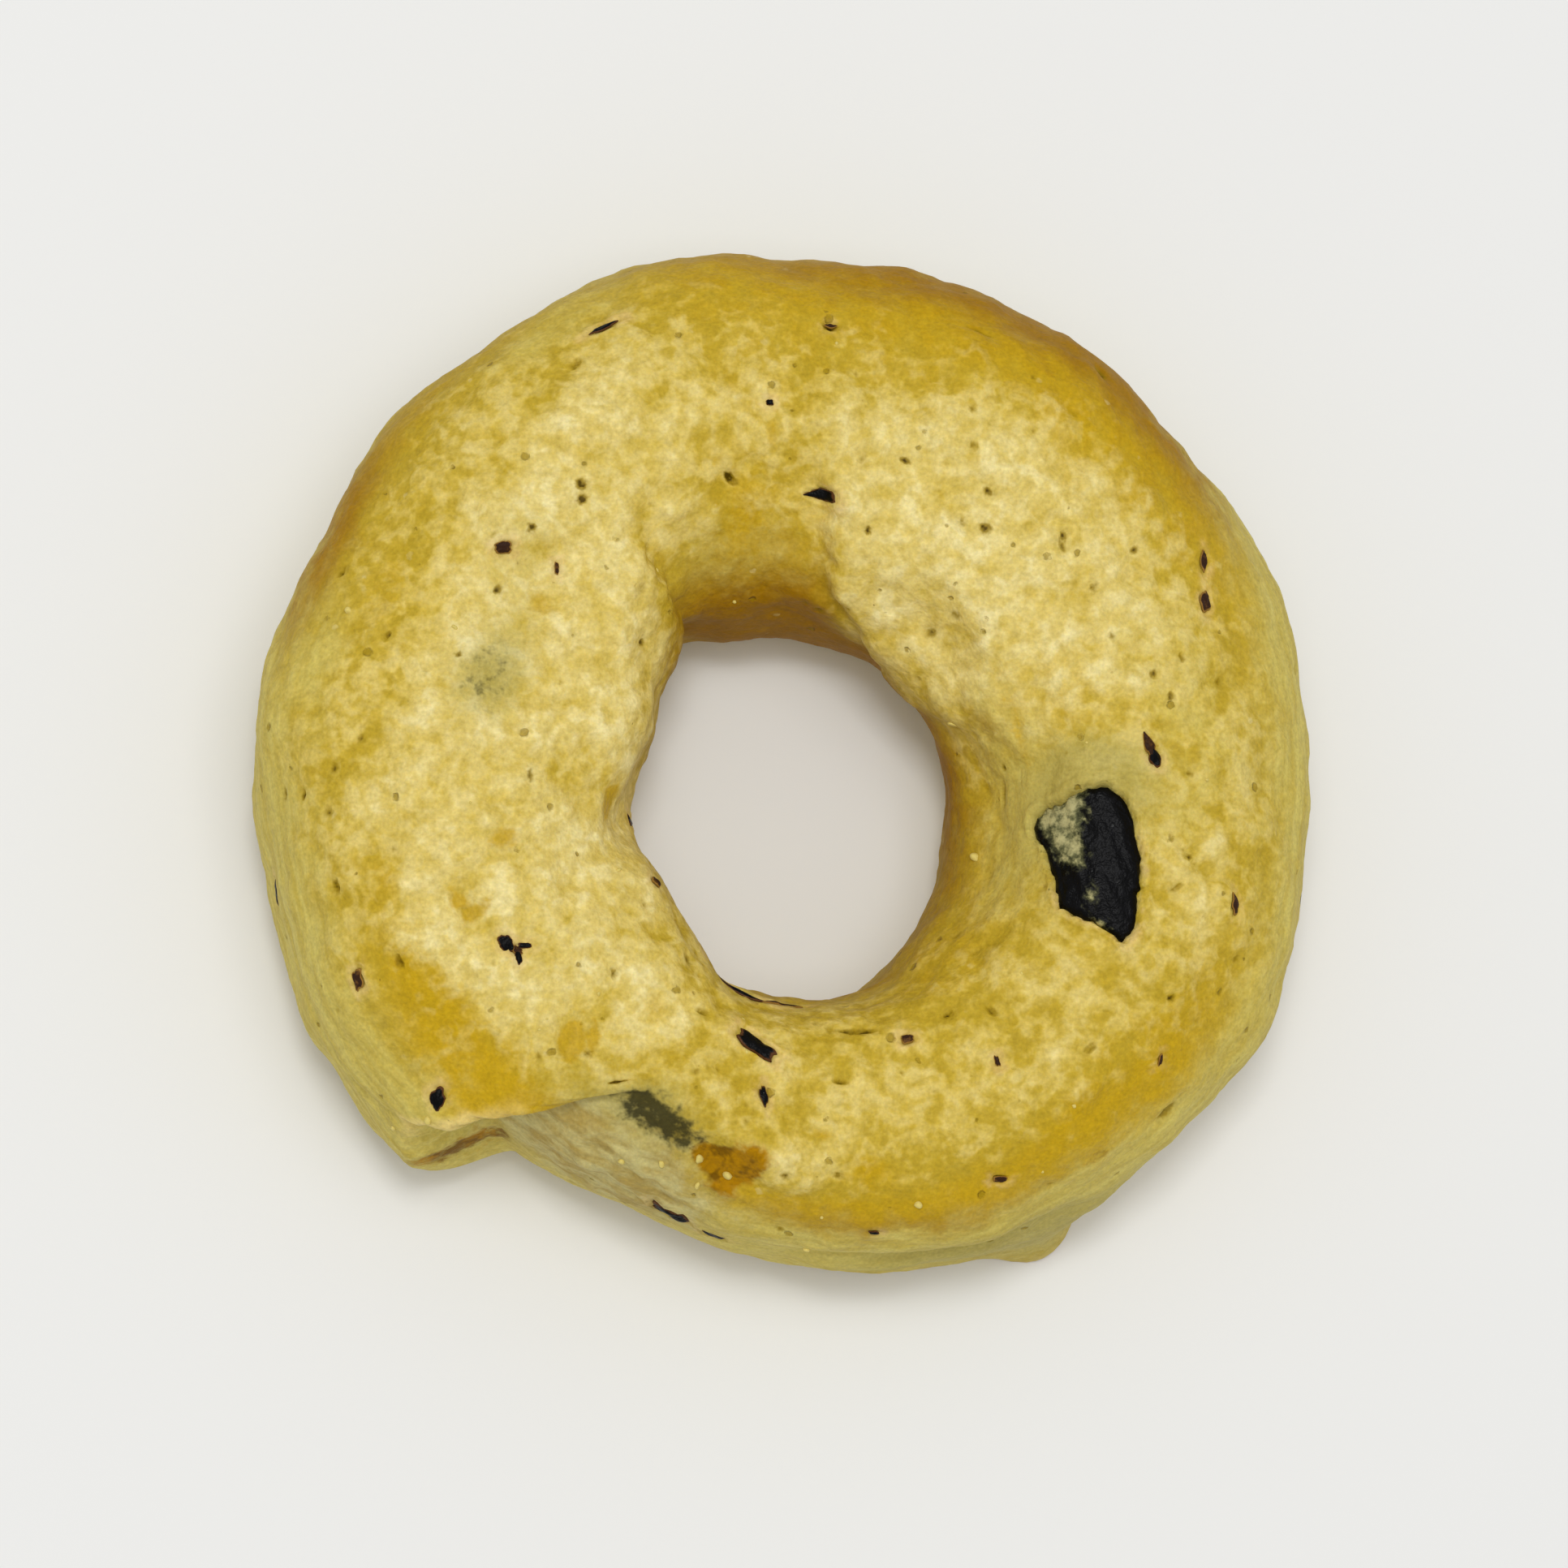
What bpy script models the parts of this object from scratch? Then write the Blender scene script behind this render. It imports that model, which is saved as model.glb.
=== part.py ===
"""A tarallo: a small ring biscuit, one rope of olive dough closed into a ring with its ends lapped.

Lengths are in millimetres until MM turns them into metres, and angles are in degrees until a
function needs radians. The ring lies on the plane z = 0 with its hole up +Z, and the origin is
under the middle of its box. Everything is shaped about the hole's axis and moved there last. Two
angles give a place on the dough: `angle` runs round the ring from +X towards +Y, and `around` runs
round the rope from its outer side (0) over the top (90) and the hole side (180) to the base (270).
"""

import math
import random
from dataclasses import dataclass

import bmesh
import bpy
import numpy as np
from mathutils import Matrix, Vector, noise

MM = 0.001

# Driving dimensions of the ring.
OUTER_RADIUS = 18.2
HOLE_RADIUS = 5.6
ROPE_HEIGHT = 11.6

# Where the hole's axis stands from the middle of the part's box: the near side is thinner.
HOLE_AXIS = (0.0, -0.86, 0.0)

# The rope's section: its middle as a share of its height, how squared its sides are, and how far
# its lower half would sag below the tray, as a share of the middle's height, if it could.
MIDDLE_SHARE = 0.47
SECTION_POWER = 2.15
SAG_SHARE = 1.30

# Facets round the ring and round the rope, and how much closer they lie at the lap.
STEPS_ROUND_RING = 108
STEPS_ROUND_ROPE = 42
LAP_CLOSENESS = 0.6
LAP_CLOSE_REACH = 10.0
SHARP_EDGE = 50.0


@dataclass(frozen=True)
class Station:
    """The rope at one angle: how far it departs from the ring's driving dimensions."""

    angle: float
    outer: float
    hole: float
    height: float


@dataclass(frozen=True)
class Relief:
    """A lump (or, with a negative height, a dent) on the dough: its place, size and steepness."""

    angle: float
    around: float
    length: float
    width: float
    height: float
    turn: float = 0.0
    steepness: float = 1.0


@dataclass(frozen=True)
class OliveBit:
    """A shred of olive baked into the crust: its place, size, turn and how pointed it is."""

    angle: float
    around: float
    length: float
    width: float
    turn: float = 0.0
    point: float = 0.2


# The rope from its tucked-under end, once round the ring, to the end that lies over it.
ROPE = (
    Station(210, -2.9, 0.3, -0.4),
    Station(228, -2.9, 0.05, -0.3),
    Station(240, -2.95, 0.5, -0.5),
    Station(252, -2.85, 1.3, -0.8),
    Station(265, -1.9, 1.35, -1.0),
    Station(285, -0.9, 1.6, -1.0),
    Station(305, -0.5, 1.05, -0.7),
    Station(330, 0.5, 0.4, -0.3),
    Station(347, 0.25, -0.05, -0.2),
    Station(365, -0.2, -0.15, -0.1),
    Station(385, 0.15, -0.15, 0.0),
    Station(398, -0.2, -0.1, 0.0),
    Station(415, 0.2, -0.1, 0.0),
    Station(435, 0.25, -0.25, -0.1),
    Station(450, -0.05, -0.2, -0.2),
    Station(468, 0.75, -0.1, -0.4),
    Station(484, 0.05, 0.65, -0.4),
    Station(500, 0.3, -0.1, -0.2),
    Station(523, -0.1, -0.95, 0.0),
    Station(545, 0.1, -0.25, 0.1),
    Station(565, 0.45, 0.1, 0.1),
    Station(585, 0.15, 0.05, -0.3),
    Station(600, 0.0, 0.5, -0.5),
    Station(612, -0.6, 1.4, -0.8),
)

# The line where the upper end stops: its angle and how wide its step is, at places round the rope.
LAP_AROUND = (-60, -20, 5, 25, 50, 70, 80, 100)
LAP_ANGLE = (232, 231, 227, 224, 229.5, 238, 245, 250)
LAP_WIDTH = (3.6, 2.6, 1.2, 0.7, 0.6, 0.6, 0.9, 3.0)
LAP_MIDDLE = 232.0
LAP_REACH = 34.0
# The upper end's edge curls up a little, and the step has a groove at its foot.
LAP_LIP = 0.22
LAP_GROOVE = -0.30

RELIEFS = (
    # The hole side of the ring's far part is pressed in, between a lobe and a shoulder.
    Relief(102, 147, 6.4, 5.6, -2.0, steepness=2.4),
    # The puffed lobe, the crease beside it, and the small fold where the lobe ends.
    Relief(47, 134, 8.6, 5.0, 1.0, steepness=2.6),
    Relief(81, 128, 0.9, 6.5, -0.6, turn=10),
    Relief(11, 134, 2.6, 2.2, -0.9, turn=-25, steepness=1.5),
    # The shoulder on the other side of the pressed part, and the bumpy rim after it.
    Relief(133, 127, 4.2, 4.2, 1.0, steepness=1.7),
    Relief(143, 100, 5.0, 1.8, -0.35, turn=-30),
    Relief(170, 138, 3.4, 3.2, 0.5),
    Relief(196, 150, 1.7, 3.2, -0.75, turn=15),
    Relief(217, 146, 2.6, 2.4, 0.35),
    # The near side of the rope leans towards the hole.
    Relief(345, 142, 9.0, 4.2, -0.7, steepness=1.4),
    # Soft swellings and hollows of the crest.
    Relief(124, 84, 5.0, 4.4, 0.3),
    Relief(155, 60, 6.0, 5.0, -0.35),
    Relief(206, 66, 5.5, 3.6, 0.4),
    Relief(240, 96, 3.4, 4.2, -0.35),
    Relief(268, 70, 4.2, 3.2, 0.4, steepness=1.3),
    Relief(301, 70, 5.5, 4.0, 0.3),
    Relief(28, 70, 6.5, 4.5, -0.3),
    # The skirt of dough that spread over the tray at the front, and the corner where it ends.
    Relief(287, 12, 11.0, 1.8, -0.5, steepness=1.3),
    Relief(289, -38, 10.0, 3.6, 0.9, steepness=1.5),
    Relief(300, -40, 3.0, 3.8, 1.1, steepness=1.3),
)

# Soft unevenness of hand-rolled dough: the size of its lumps and how far they stand out.
LUMPS = ((9.0, 0.50), (4.2, 0.30), (2.2, 0.10))

# The olive bits that stand out on the crust, the largest first.
OLIVE_BITS = (
    OliveBit(341, 106, 5.3, 3.6, turn=-140, point=0.5),
    OliveBit(261, 112, 1.8, 0.9, turn=-24),
    OliveBit(3, 88, 1.6, 1.0, turn=16, point=0.6),
    OliveBit(254.5, 27, 1.6, 0.8, turn=-14),
    OliveBit(261, 20, 1.3, 0.6, turn=-11),
    OliveBit(87, 114, 1.3, 0.8, turn=8),
    OliveBit(212.5, 92, 1.3, 0.8, turn=12),
    OliveBit(223, 44, 1.0, 0.6, turn=-38),
    OliveBit(206, 42, 0.9, 0.6, turn=-26),
    OliveBit(145, 82, 0.9, 0.6, turn=20),
    OliveBit(114, 45, 0.9, 0.5, turn=-4),
    OliveBit(264, 95, 0.8, 0.5, turn=-60),
    OliveBit(20, 50, 1.0, 0.6, turn=10),
    OliveBit(25, 44, 0.9, 0.5, turn=-5),
    OliveBit(343, 56, 0.8, 0.5),
    OliveBit(296, 57, 0.8, 0.4, turn=-16),
    OliveBit(280, 42, 0.7, 0.4, turn=-10),
    OliveBit(291, 115, 0.8, 0.4, turn=10),
    OliveBit(198, 149, 0.8, 0.6, turn=80),
    OliveBit(266, 152, 1.6, 0.5, turn=5),
)

# Bits on the sides turned away, spread by a rule: how many, their places and their sizes.
FAR_BITS_SEED = 11
FAR_BITS = 14
FAR_BITS_ANGLE = (-20, 205)
FAR_BITS_AROUND = (-22, 30)
FAR_BITS_LENGTH = (0.8, 1.9)
FAR_BITS_WIDTH_SHARE = (0.4, 0.7)

# A bit's thickness, how deep its middle lies under the crust, and how many facets it has.
BIT_THICKNESS_SHARE = 0.5
BIT_DEPTH_SHARE = 0.10
LARGE_BIT_LENGTH = 3.0


@dataclass(frozen=True)
class Finish:
    """The plain colour and gloss of a surface."""

    name: str
    colour: tuple
    roughness: float


CRUST = Finish("baked_dough", (0.68, 0.50, 0.16, 1.0), 0.55)
OLIVE = Finish("olive_skin", (0.012, 0.010, 0.014, 1.0), 0.35)


def smooth_step(value):
    """0 below -1/2, 1 above +1/2, and a smooth ramp between."""
    share = np.clip(value + 0.5, 0.0, 1.0)
    return share * share * (3.0 - 2.0 * share)


def bell(value):
    """1 at zero, falling smoothly to nothing on both sides."""
    return np.exp(-(value**2))


def full_turn(angle):
    """An angle brought into 0 to 360."""
    return np.mod(angle, 360.0)


def half_turn(angle):
    """An angle brought into -180 to 180."""
    return np.mod(angle + 180.0, 360.0) - 180.0


def along_rope(angle, column):
    """A column of ROPE at an angle, on a smooth curve through the stations."""
    angles = np.array([station.angle for station in ROPE])
    values = np.array([getattr(station, column) for station in ROPE])
    slopes = np.gradient(values, angles)
    span = np.clip(np.searchsorted(angles, angle) - 1, 0, len(angles) - 2)
    step = angles[span + 1] - angles[span]
    t = np.clip((angle - angles[span]) / step, 0.0, 1.0)
    start = (1 + 2 * t) * (1 - t) ** 2 * values[span] + t * (1 - t) ** 2 * step * slopes[span]
    end = t * t * (3 - 2 * t) * values[span + 1] + t * t * (t - 1) * step * slopes[span + 1]
    return start + end


def section(angle, around):
    """The plain rope's surface at rope angles: distance from the ring's axis, and height."""
    outer = OUTER_RADIUS + along_rope(angle, "outer")
    hole = HOLE_RADIUS + along_rope(angle, "hole")
    height = ROPE_HEIGHT + along_rope(angle, "height")
    middle = height * MIDDLE_SHARE
    cosine = np.cos(np.radians(around))
    sine = np.sin(np.radians(around))
    across = np.sign(cosine) * np.abs(cosine) ** (2 / SECTION_POWER)
    up = np.sign(sine) * np.abs(sine) ** (2 / SECTION_POWER)
    rise = np.where(sine > 0, height - middle, middle * SAG_SHARE)
    return (outer + hole) / 2 + (outer - hole) / 2 * across, middle + rise * up


def lap_angle(around):
    """The angle at which the upper end stops, at rope angles."""
    return np.interp(half_turn(around), LAP_AROUND, LAP_ANGLE)


def beyond_lap(angle, around):
    """How far past the lap line each point lies, in widths of the step there."""
    width = np.interp(half_turn(around), LAP_AROUND, LAP_WIDTH)
    run = np.radians(full_turn(angle) - lap_angle(around)) * OUTER_RADIUS
    return run / width


def lapped_section(angle, around):
    """The section of the closed ring: each side of the lap line has its own end of the rope."""
    turn = full_turn(angle)
    first, last = ROPE[0].angle, ROPE[-1].angle - 360
    under_radius, under_height = section(np.where(turn < first, turn + 360, turn), around)
    over_radius, over_height = section(np.where(turn < last, turn + 360, turn), around)
    share = np.where(turn < first, 0.0, smooth_step(beyond_lap(angle, around)))
    radius = over_radius + (under_radius - over_radius) * share
    return radius, over_height + (under_height - over_height) * share


def lap_relief(angle, around):
    """The curled edge of the upper end and the groove at the foot of its step."""
    beyond = beyond_lap(angle, around)
    on_step = bell((half_turn(around) - 42) / 34)
    return on_step * (LAP_LIP * bell(beyond + 1.1) + LAP_GROOVE * bell((beyond - 0.7) / 0.6))


def relief_height(relief, angle, around, radius):
    """How far one lump or dent moves each point out of the dough."""
    rope_radius = (OUTER_RADIUS - HOLE_RADIUS) / 2
    run = np.radians(half_turn(angle - relief.angle)) * radius
    rise = np.radians(half_turn(around - relief.around)) * rope_radius
    turn = math.radians(relief.turn)
    along = run * math.cos(turn) + rise * math.sin(turn)
    across = rise * math.cos(turn) - run * math.sin(turn)
    square = (2 * along / relief.length) ** 2 + (2 * across / relief.width) ** 2
    return relief.height * np.exp(-(square**relief.steepness))


def lumps_at(points):
    """The soft unevenness at each point."""
    height = np.zeros(len(points))
    for size, depth in LUMPS:
        height += depth * np.array([noise.noise(Vector(point) / size) for point in points])
    return height


def dough_surface(angle, around):
    """Points of the dough's surface at the two angles of each."""
    radius, up = lapped_section(angle, around)
    turn = np.radians(angle)
    out = lap_relief(angle, around)
    out = out + lumps_at(np.stack([radius * np.cos(turn), radius * np.sin(turn), up], axis=1))
    for relief in RELIEFS:
        out = out + relief_height(relief, angle, around, radius)
    radius = radius + out * np.cos(np.radians(around))
    up = np.maximum(up + out * np.sin(np.radians(around)), 0.0)
    return np.stack([radius * np.cos(turn), radius * np.sin(turn), up], axis=1)


def follow_lap(angle, around):
    """Ring angles drawn together at the lap, and bent so that the facets' edges run along it."""
    from_lap = half_turn(angle - LAP_MIDDLE)
    closer = angle - LAP_CLOSENESS * from_lap * bell(from_lap / LAP_CLOSE_REACH)
    return closer + (lap_angle(around) - LAP_MIDDLE) * bell(from_lap / LAP_REACH)


def dough_ring():
    """The dough as one closed mesh: a plain ring turned by a spin, then moved onto the surface."""
    ring_radius = (OUTER_RADIUS + HOLE_RADIUS) / 2
    rope_radius = (OUTER_RADIUS - HOLE_RADIUS) / 2
    mesh = bmesh.new()
    circle = bmesh.ops.create_circle(mesh, segments=STEPS_ROUND_ROPE, radius=rope_radius)
    for vert in circle["verts"]:
        vert.co = Vector((ring_radius + vert.co.x, 0.0, vert.co.y))
    bmesh.ops.spin(
        mesh,
        geom=mesh.verts[:] + mesh.edges[:],
        cent=(0, 0, 0),
        axis=(0, 0, 1),
        angle=2 * math.pi,
        steps=STEPS_ROUND_RING,
        use_merge=True,
    )
    places = np.array([vert.co for vert in mesh.verts])
    angle = np.degrees(np.arctan2(places[:, 1], places[:, 0]))
    around = np.degrees(np.arctan2(places[:, 2], np.hypot(places[:, 0], places[:, 1]) - ring_radius))
    for vert, point in zip(mesh.verts, dough_surface(follow_lap(angle, around), around)):
        vert.co = Vector(point) * MM
    bmesh.ops.triangulate(mesh, faces=mesh.faces)
    bmesh.ops.recalc_face_normals(mesh, faces=mesh.faces)
    data = bpy.data.meshes.new("tarallo")
    mesh.to_mesh(data)
    mesh.free()
    return data


def place_on_dough(angle, around):
    """The frame of a place on the crust: X along the ring, Y round the rope, Z out of the dough."""
    nearby = 0.5
    angles = np.array([angle, angle - nearby, angle + nearby, angle, angle])
    arounds = np.array([around, around, around, around - nearby, around + nearby])
    middle, before, after, below, above = (Vector(point) for point in dough_surface(angles, arounds))
    along = (after - before).normalized()
    out = along.cross(above - below).normalized()
    frame = Matrix((along, out.cross(along), out)).transposed().to_4x4()
    return Matrix.Translation(middle * MM) @ frame


def far_bits():
    """The olive bits of the sides turned away, drawn with a fixed seed."""
    draw = random.Random(FAR_BITS_SEED)
    low, high = FAR_BITS_ANGLE
    step = (high - low) / FAR_BITS
    bits = []
    for number in range(FAR_BITS):
        length = draw.uniform(*FAR_BITS_LENGTH)
        bits.append(
            OliveBit(
                angle=low + step * (number + draw.random()),
                around=draw.uniform(*FAR_BITS_AROUND),
                length=length,
                width=length * draw.uniform(*FAR_BITS_WIDTH_SHARE),
                turn=draw.uniform(-90, 90),
                point=draw.uniform(0.0, 0.5),
            )
        )
    return bits


def olive_bit(number, bit):
    """One shred as a faceted, uneven lens that lies in the crust and stands a little out of it."""
    draw = random.Random(number)
    mesh = bmesh.new()
    facets = 2 if bit.length > LARGE_BIT_LENGTH else 1
    bmesh.ops.create_icosphere(mesh, subdivisions=facets, radius=0.5)
    thickness = bit.width * BIT_THICKNESS_SHARE
    for vert in mesh.verts:
        narrow = 1 - bit.point * (vert.co.x + 0.5)
        uneven = draw.uniform(0.88, 1.1)
        vert.co.x *= bit.length * uneven
        vert.co.y *= bit.width * uneven * narrow
        vert.co.z = vert.co.z * thickness - bit.width * BIT_DEPTH_SHARE
        vert.co *= MM
    place = place_on_dough(bit.angle, bit.around) @ Matrix.Rotation(math.radians(bit.turn), 4, "Z")
    bmesh.ops.transform(mesh, matrix=place, verts=mesh.verts)
    data = bpy.data.meshes.new(f"olive_bit_{number:02d}")
    mesh.to_mesh(data)
    mesh.free()
    return data


def material(finish):
    """A Principled BSDF material of a finish."""
    made = bpy.data.materials.new(finish.name)
    made.use_nodes = True
    shader = made.node_tree.nodes["Principled BSDF"]
    shader.inputs["Base Color"].default_value = finish.colour
    shader.inputs["Roughness"].default_value = finish.roughness
    shader.inputs["Metallic"].default_value = 0.0
    return made


def fuse(target, pieces):
    """Joins the pieces to the target with one Boolean union, applied, and removes them."""
    group = bpy.data.collections.new("fused")
    bpy.context.scene.collection.children.link(group)
    for piece in pieces:
        group.objects.link(piece)
    union = target.modifiers.new("union", "BOOLEAN")
    union.operation = "UNION"
    union.solver = "EXACT"
    union.operand_type = "COLLECTION"
    union.collection = group
    union.material_mode = "TRANSFER"
    shape = target.evaluated_get(bpy.context.evaluated_depsgraph_get())
    fused = bpy.data.meshes.new_from_object(shape)
    target.modifiers.remove(union)
    target.data = fused
    for piece in pieces:
        bpy.data.objects.remove(piece)
    bpy.data.collections.remove(group)


def main():
    """Builds the tarallo as one object."""
    for leftover in list(bpy.data.objects):
        bpy.data.objects.remove(leftover)
    tarallo = bpy.data.objects.new("tarallo", dough_ring())
    tarallo.data.materials.append(material(CRUST))
    bpy.context.scene.collection.objects.link(tarallo)
    olive = material(OLIVE)
    pieces = []
    for number, bit in enumerate(list(OLIVE_BITS) + far_bits()):
        piece = bpy.data.objects.new(f"olive_bit_{number:02d}", olive_bit(number, bit))
        piece.data.materials.append(olive)
        pieces.append(piece)
    fuse(tarallo, pieces)
    tarallo.data.transform(Matrix.Translation(Vector(HOLE_AXIS) * MM))
    tarallo.data.shade_smooth()
    tarallo.data.set_sharp_from_angle(angle=math.radians(SHARP_EDGE))


main()
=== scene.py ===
"""The looks of a tarallo: a small ring biscuit of olive dough with a golden, uneven crust.

Lengths are in millimetres until MM turns them into metres, and angles are in degrees until a
function needs radians. Everything is shaped about the hole's axis, +Z up, with the base on z = 0,
and is moved to the frame's origin last. Two angles give a place on the dough: `angle` runs round
the ring from +X towards +Y, and `around` runs round the rope from its outer side (0) over the top
(90) and the hole side (180) to the base (270).
"""

import logging
import math
import random
from dataclasses import dataclass, field
from enum import Enum

import bmesh
import bpy
import numpy as np
from mathutils import Matrix, Vector, noise


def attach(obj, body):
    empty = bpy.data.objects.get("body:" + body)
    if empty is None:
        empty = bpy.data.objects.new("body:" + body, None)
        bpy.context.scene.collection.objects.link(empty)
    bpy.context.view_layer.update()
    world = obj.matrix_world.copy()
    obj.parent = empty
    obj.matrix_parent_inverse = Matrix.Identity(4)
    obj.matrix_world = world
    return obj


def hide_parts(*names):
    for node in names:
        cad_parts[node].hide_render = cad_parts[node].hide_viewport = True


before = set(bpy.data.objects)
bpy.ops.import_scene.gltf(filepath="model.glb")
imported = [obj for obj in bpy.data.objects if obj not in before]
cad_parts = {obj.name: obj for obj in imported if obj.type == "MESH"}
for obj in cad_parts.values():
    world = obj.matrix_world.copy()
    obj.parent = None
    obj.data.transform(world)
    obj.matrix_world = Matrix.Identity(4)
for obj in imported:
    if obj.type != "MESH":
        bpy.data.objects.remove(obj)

LOG = logging.getLogger("tarallo")

MM = 0.001
BODY = "root"
NODE = "tarallo"

# Where the hole's axis stands from the middle of the part's box.
HOLE_AXIS = Vector((0.0, -0.86, 0.0))

Colour = tuple[float, float, float, float]

# Arrays of numbers, and the sockets of shader nodes.
Values = np.ndarray
Socket = bpy.types.NodeSocket


def srgb(red: int, green: int, blue: int) -> Colour:
    """A colour as the eye reads it, made linear for the shaders.

    Args:
        red: Red, 0 to 255.
        green: Green, 0 to 255.
        blue: Blue, 0 to 255.

    Returns:
        The linear colour with full alpha.
    """
    shares = (red / 255, green / 255, blue / 255)
    linear = [s / 12.92 if s <= 0.04045 else ((s + 0.055) / 1.055) ** 2.4 for s in shares]
    return (linear[0], linear[1], linear[2], 1.0)


def many(kind: type, *rows: tuple) -> tuple:
    """One object of a kind for each row of its fields' values, in the order of the fields."""
    return tuple(kind(*row) for row in rows)


def bell(value: Values) -> Values:
    """1 at zero, falling smoothly to nothing on both sides."""
    return np.exp(-(value**2))


def smooth_step(value: Values) -> Values:
    """0 below -1/2, 1 above +1/2, and a smooth ramp between."""
    share = np.clip(value + 0.5, 0.0, 1.0)
    return share * share * (3.0 - 2.0 * share)


def half_turn(angle: Values) -> Values:
    """An angle brought into -180 to 180."""
    return np.mod(angle + 180.0, 360.0) - 180.0


def grain(points: Values, size: float, shift: float = 0.0) -> Values:
    """Soft random unevenness at points.

    Args:
        points: One row for each point.
        size: How large the lumps are, in the points' unit.
        shift: Moves the pattern, so that two layers of one size differ.

    Returns:
        A value for each point, about -1 to 1.
    """
    offset = Vector((shift, 0.7 * shift, 1.3 * shift))
    return np.array([noise.noise(Vector(point) / size + offset) for point in points])


def pebbles(points: Values, size: float) -> Values:
    """Rounded domes side by side, as small blisters lie in a crust.

    Args:
        points: One row for each point.
        size: How large the domes are, in the points' unit.

    Returns:
        A height for each point: 1 on a dome's top, 0 in the furrows between domes.
    """
    nearest = np.array([noise.voronoi(Vector(point) / size)[0][0] for point in points])
    return 1.0 - np.clip(1.3 * nearest, 0.0, 1.0) ** 2


def add_object(name: str, data: bpy.types.ID) -> bpy.types.Object:
    """Puts a mesh, a lamp or a camera in the scene."""
    added = bpy.data.objects.new(name, data)
    bpy.context.scene.collection.objects.link(added)
    return added


def new_piece(name: str, mesh: bmesh.types.BMesh) -> bpy.types.Object:
    """Turns a finished mesh into a smooth object and frees it.

    Args:
        name: The piece's name.
        mesh: Its mesh, in metres in the shared frame.

    Returns:
        The piece's object.
    """
    data = bpy.data.meshes.new(name)
    mesh.to_mesh(data)
    mesh.free()
    data.shade_smooth()
    return add_object(name, data)


class Zone(Enum):
    """What a stretch of the crust looks like; the value names its attribute on the mesh."""

    GOLD = "gold"
    # Browned crust on the outer side, and painted shade on the hole's walls.
    BROWN = "brown"
    PALE = "pale"
    CREAM = "cream"
    KHAKI = "khaki"
    GREEN = "green"
    STAIN = "stain"
    ORANGE = "orange"
    WINDOW = "window"
    # A pale line on the lap's lip, with a painted highlight on its rounded edge.
    LIP_AND_HIGHLIGHT = "lip"
    # Pits, painted darker inside: a little olive, and painted shade.
    PIT = "pit"
    SIDE = "side"
    BASE = "base"
    # Bump tops, painted lighter, and the furrows between them, painted darker: painted light and shade.
    RAISED_LIT_AND_SHADED = "raised"
    RIM = "rim"
    FILM = "film"


@dataclass(frozen=True)
class Spot:
    """A soft oval on the dough: its place, its length along the rope and width, and its strength."""

    angle: float
    around: float
    length: float
    width: float
    strength: float
    turn: float = 0.0
    steepness: float = 1.0

    def at(self, angle: Values, around: Values, radius: Values, rope: float) -> Values:
        """How strongly the spot shows at places on the dough.

        Args:
            angle: Ring angles.
            around: Rope angles.
            radius: Distances from the hole's axis.
            rope: The rope's own radius.

        Returns:
            The strength at each place.
        """
        run = np.radians(half_turn(angle - self.angle)) * radius
        rise = np.radians(half_turn(around - self.around)) * rope
        turn = math.radians(self.turn)
        along = run * math.cos(turn) + rise * math.sin(turn)
        across = rise * math.cos(turn) - run * math.sin(turn)
        square = (2 * along / self.length) ** 2 + (2 * across / self.width) ** 2
        return self.strength * np.exp(-(square**self.steepness))


@dataclass(frozen=True)
class Station:
    """The rope at one angle: how far it departs from the ring's driving dimensions."""

    angle: float
    outer: float
    hole: float
    height: float


@dataclass(frozen=True)
class Lap:
    """The line where the rope's upper end stops on its lower one."""

    around: tuple[float, ...] = (-180, -60, -20, 5, 25, 50, 62, 74, 100, 180)
    angle: tuple[float, ...] = (241, 232, 231, 227, 224.6, 231.6, 235.8, 239.8, 248.5, 241)
    width: tuple[float, ...] = (3.3, 3.6, 2.6, 1.7, 1.6, 2.3, 3.8, 4.8, 4.6, 3.5)
    middle: float = 232.0
    reach: float = 34.0
    closeness: float = 0.6
    close_reach: float = 10.0
    wobble: float = 0.5
    lip: float = 0.13
    lip_at: float = -0.6
    lip_width: float = 0.5
    groove: float = -0.05
    groove_at: float = 0.6
    groove_width: float = 0.4
    step_around: float = 34.0
    step_spread: float = 22.0

    def line(self, around: Values) -> Values:
        """The angle at which the upper end stops, at rope angles."""
        turn = half_turn(around)
        uneven = np.sin(0.35 * turn + 1.0) + 0.6 * np.sin(0.9 * turn)
        return np.interp(turn, self.around, self.angle) + self.wobble * uneven * bell((turn - 35) / 40)

    def beyond(self, angle: Values, around: Values, radius: float) -> Values:
        """How far past the line places lie, in widths of the step there.

        Args:
            angle: Ring angles.
            around: Rope angles.
            radius: The ring's outer radius.

        Returns:
            Negative on the upper end, positive on the lower one.
        """
        width = np.interp(half_turn(around), self.around, self.width)
        return np.radians(np.mod(angle, 360.0) - self.line(around)) * radius / width

    def relief(self, beyond: Values, around: Values) -> Values:
        """The curled edge of the upper end and the groove at the foot of its step."""
        on_step = bell((half_turn(around) - self.step_around) / self.step_spread)
        curled = self.lip * bell((beyond - self.lip_at) / self.lip_width)
        return on_step * (curled + self.groove * bell((beyond - self.groove_at) / self.groove_width))

    def gather(self, angle: Values, around: Values) -> Values:
        """Draws ring angles together at the line and bends them so that edges run along it.

        Args:
            angle: Evenly spaced ring angles.
            around: Rope angles.

        Returns:
            The ring angles to use.
        """
        from_line = half_turn(angle - self.middle)
        closer = angle - self.closeness * from_line * bell(from_line / self.close_reach)
        return closer + (self.line(around) - self.middle) * bell(from_line / self.reach)


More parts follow.
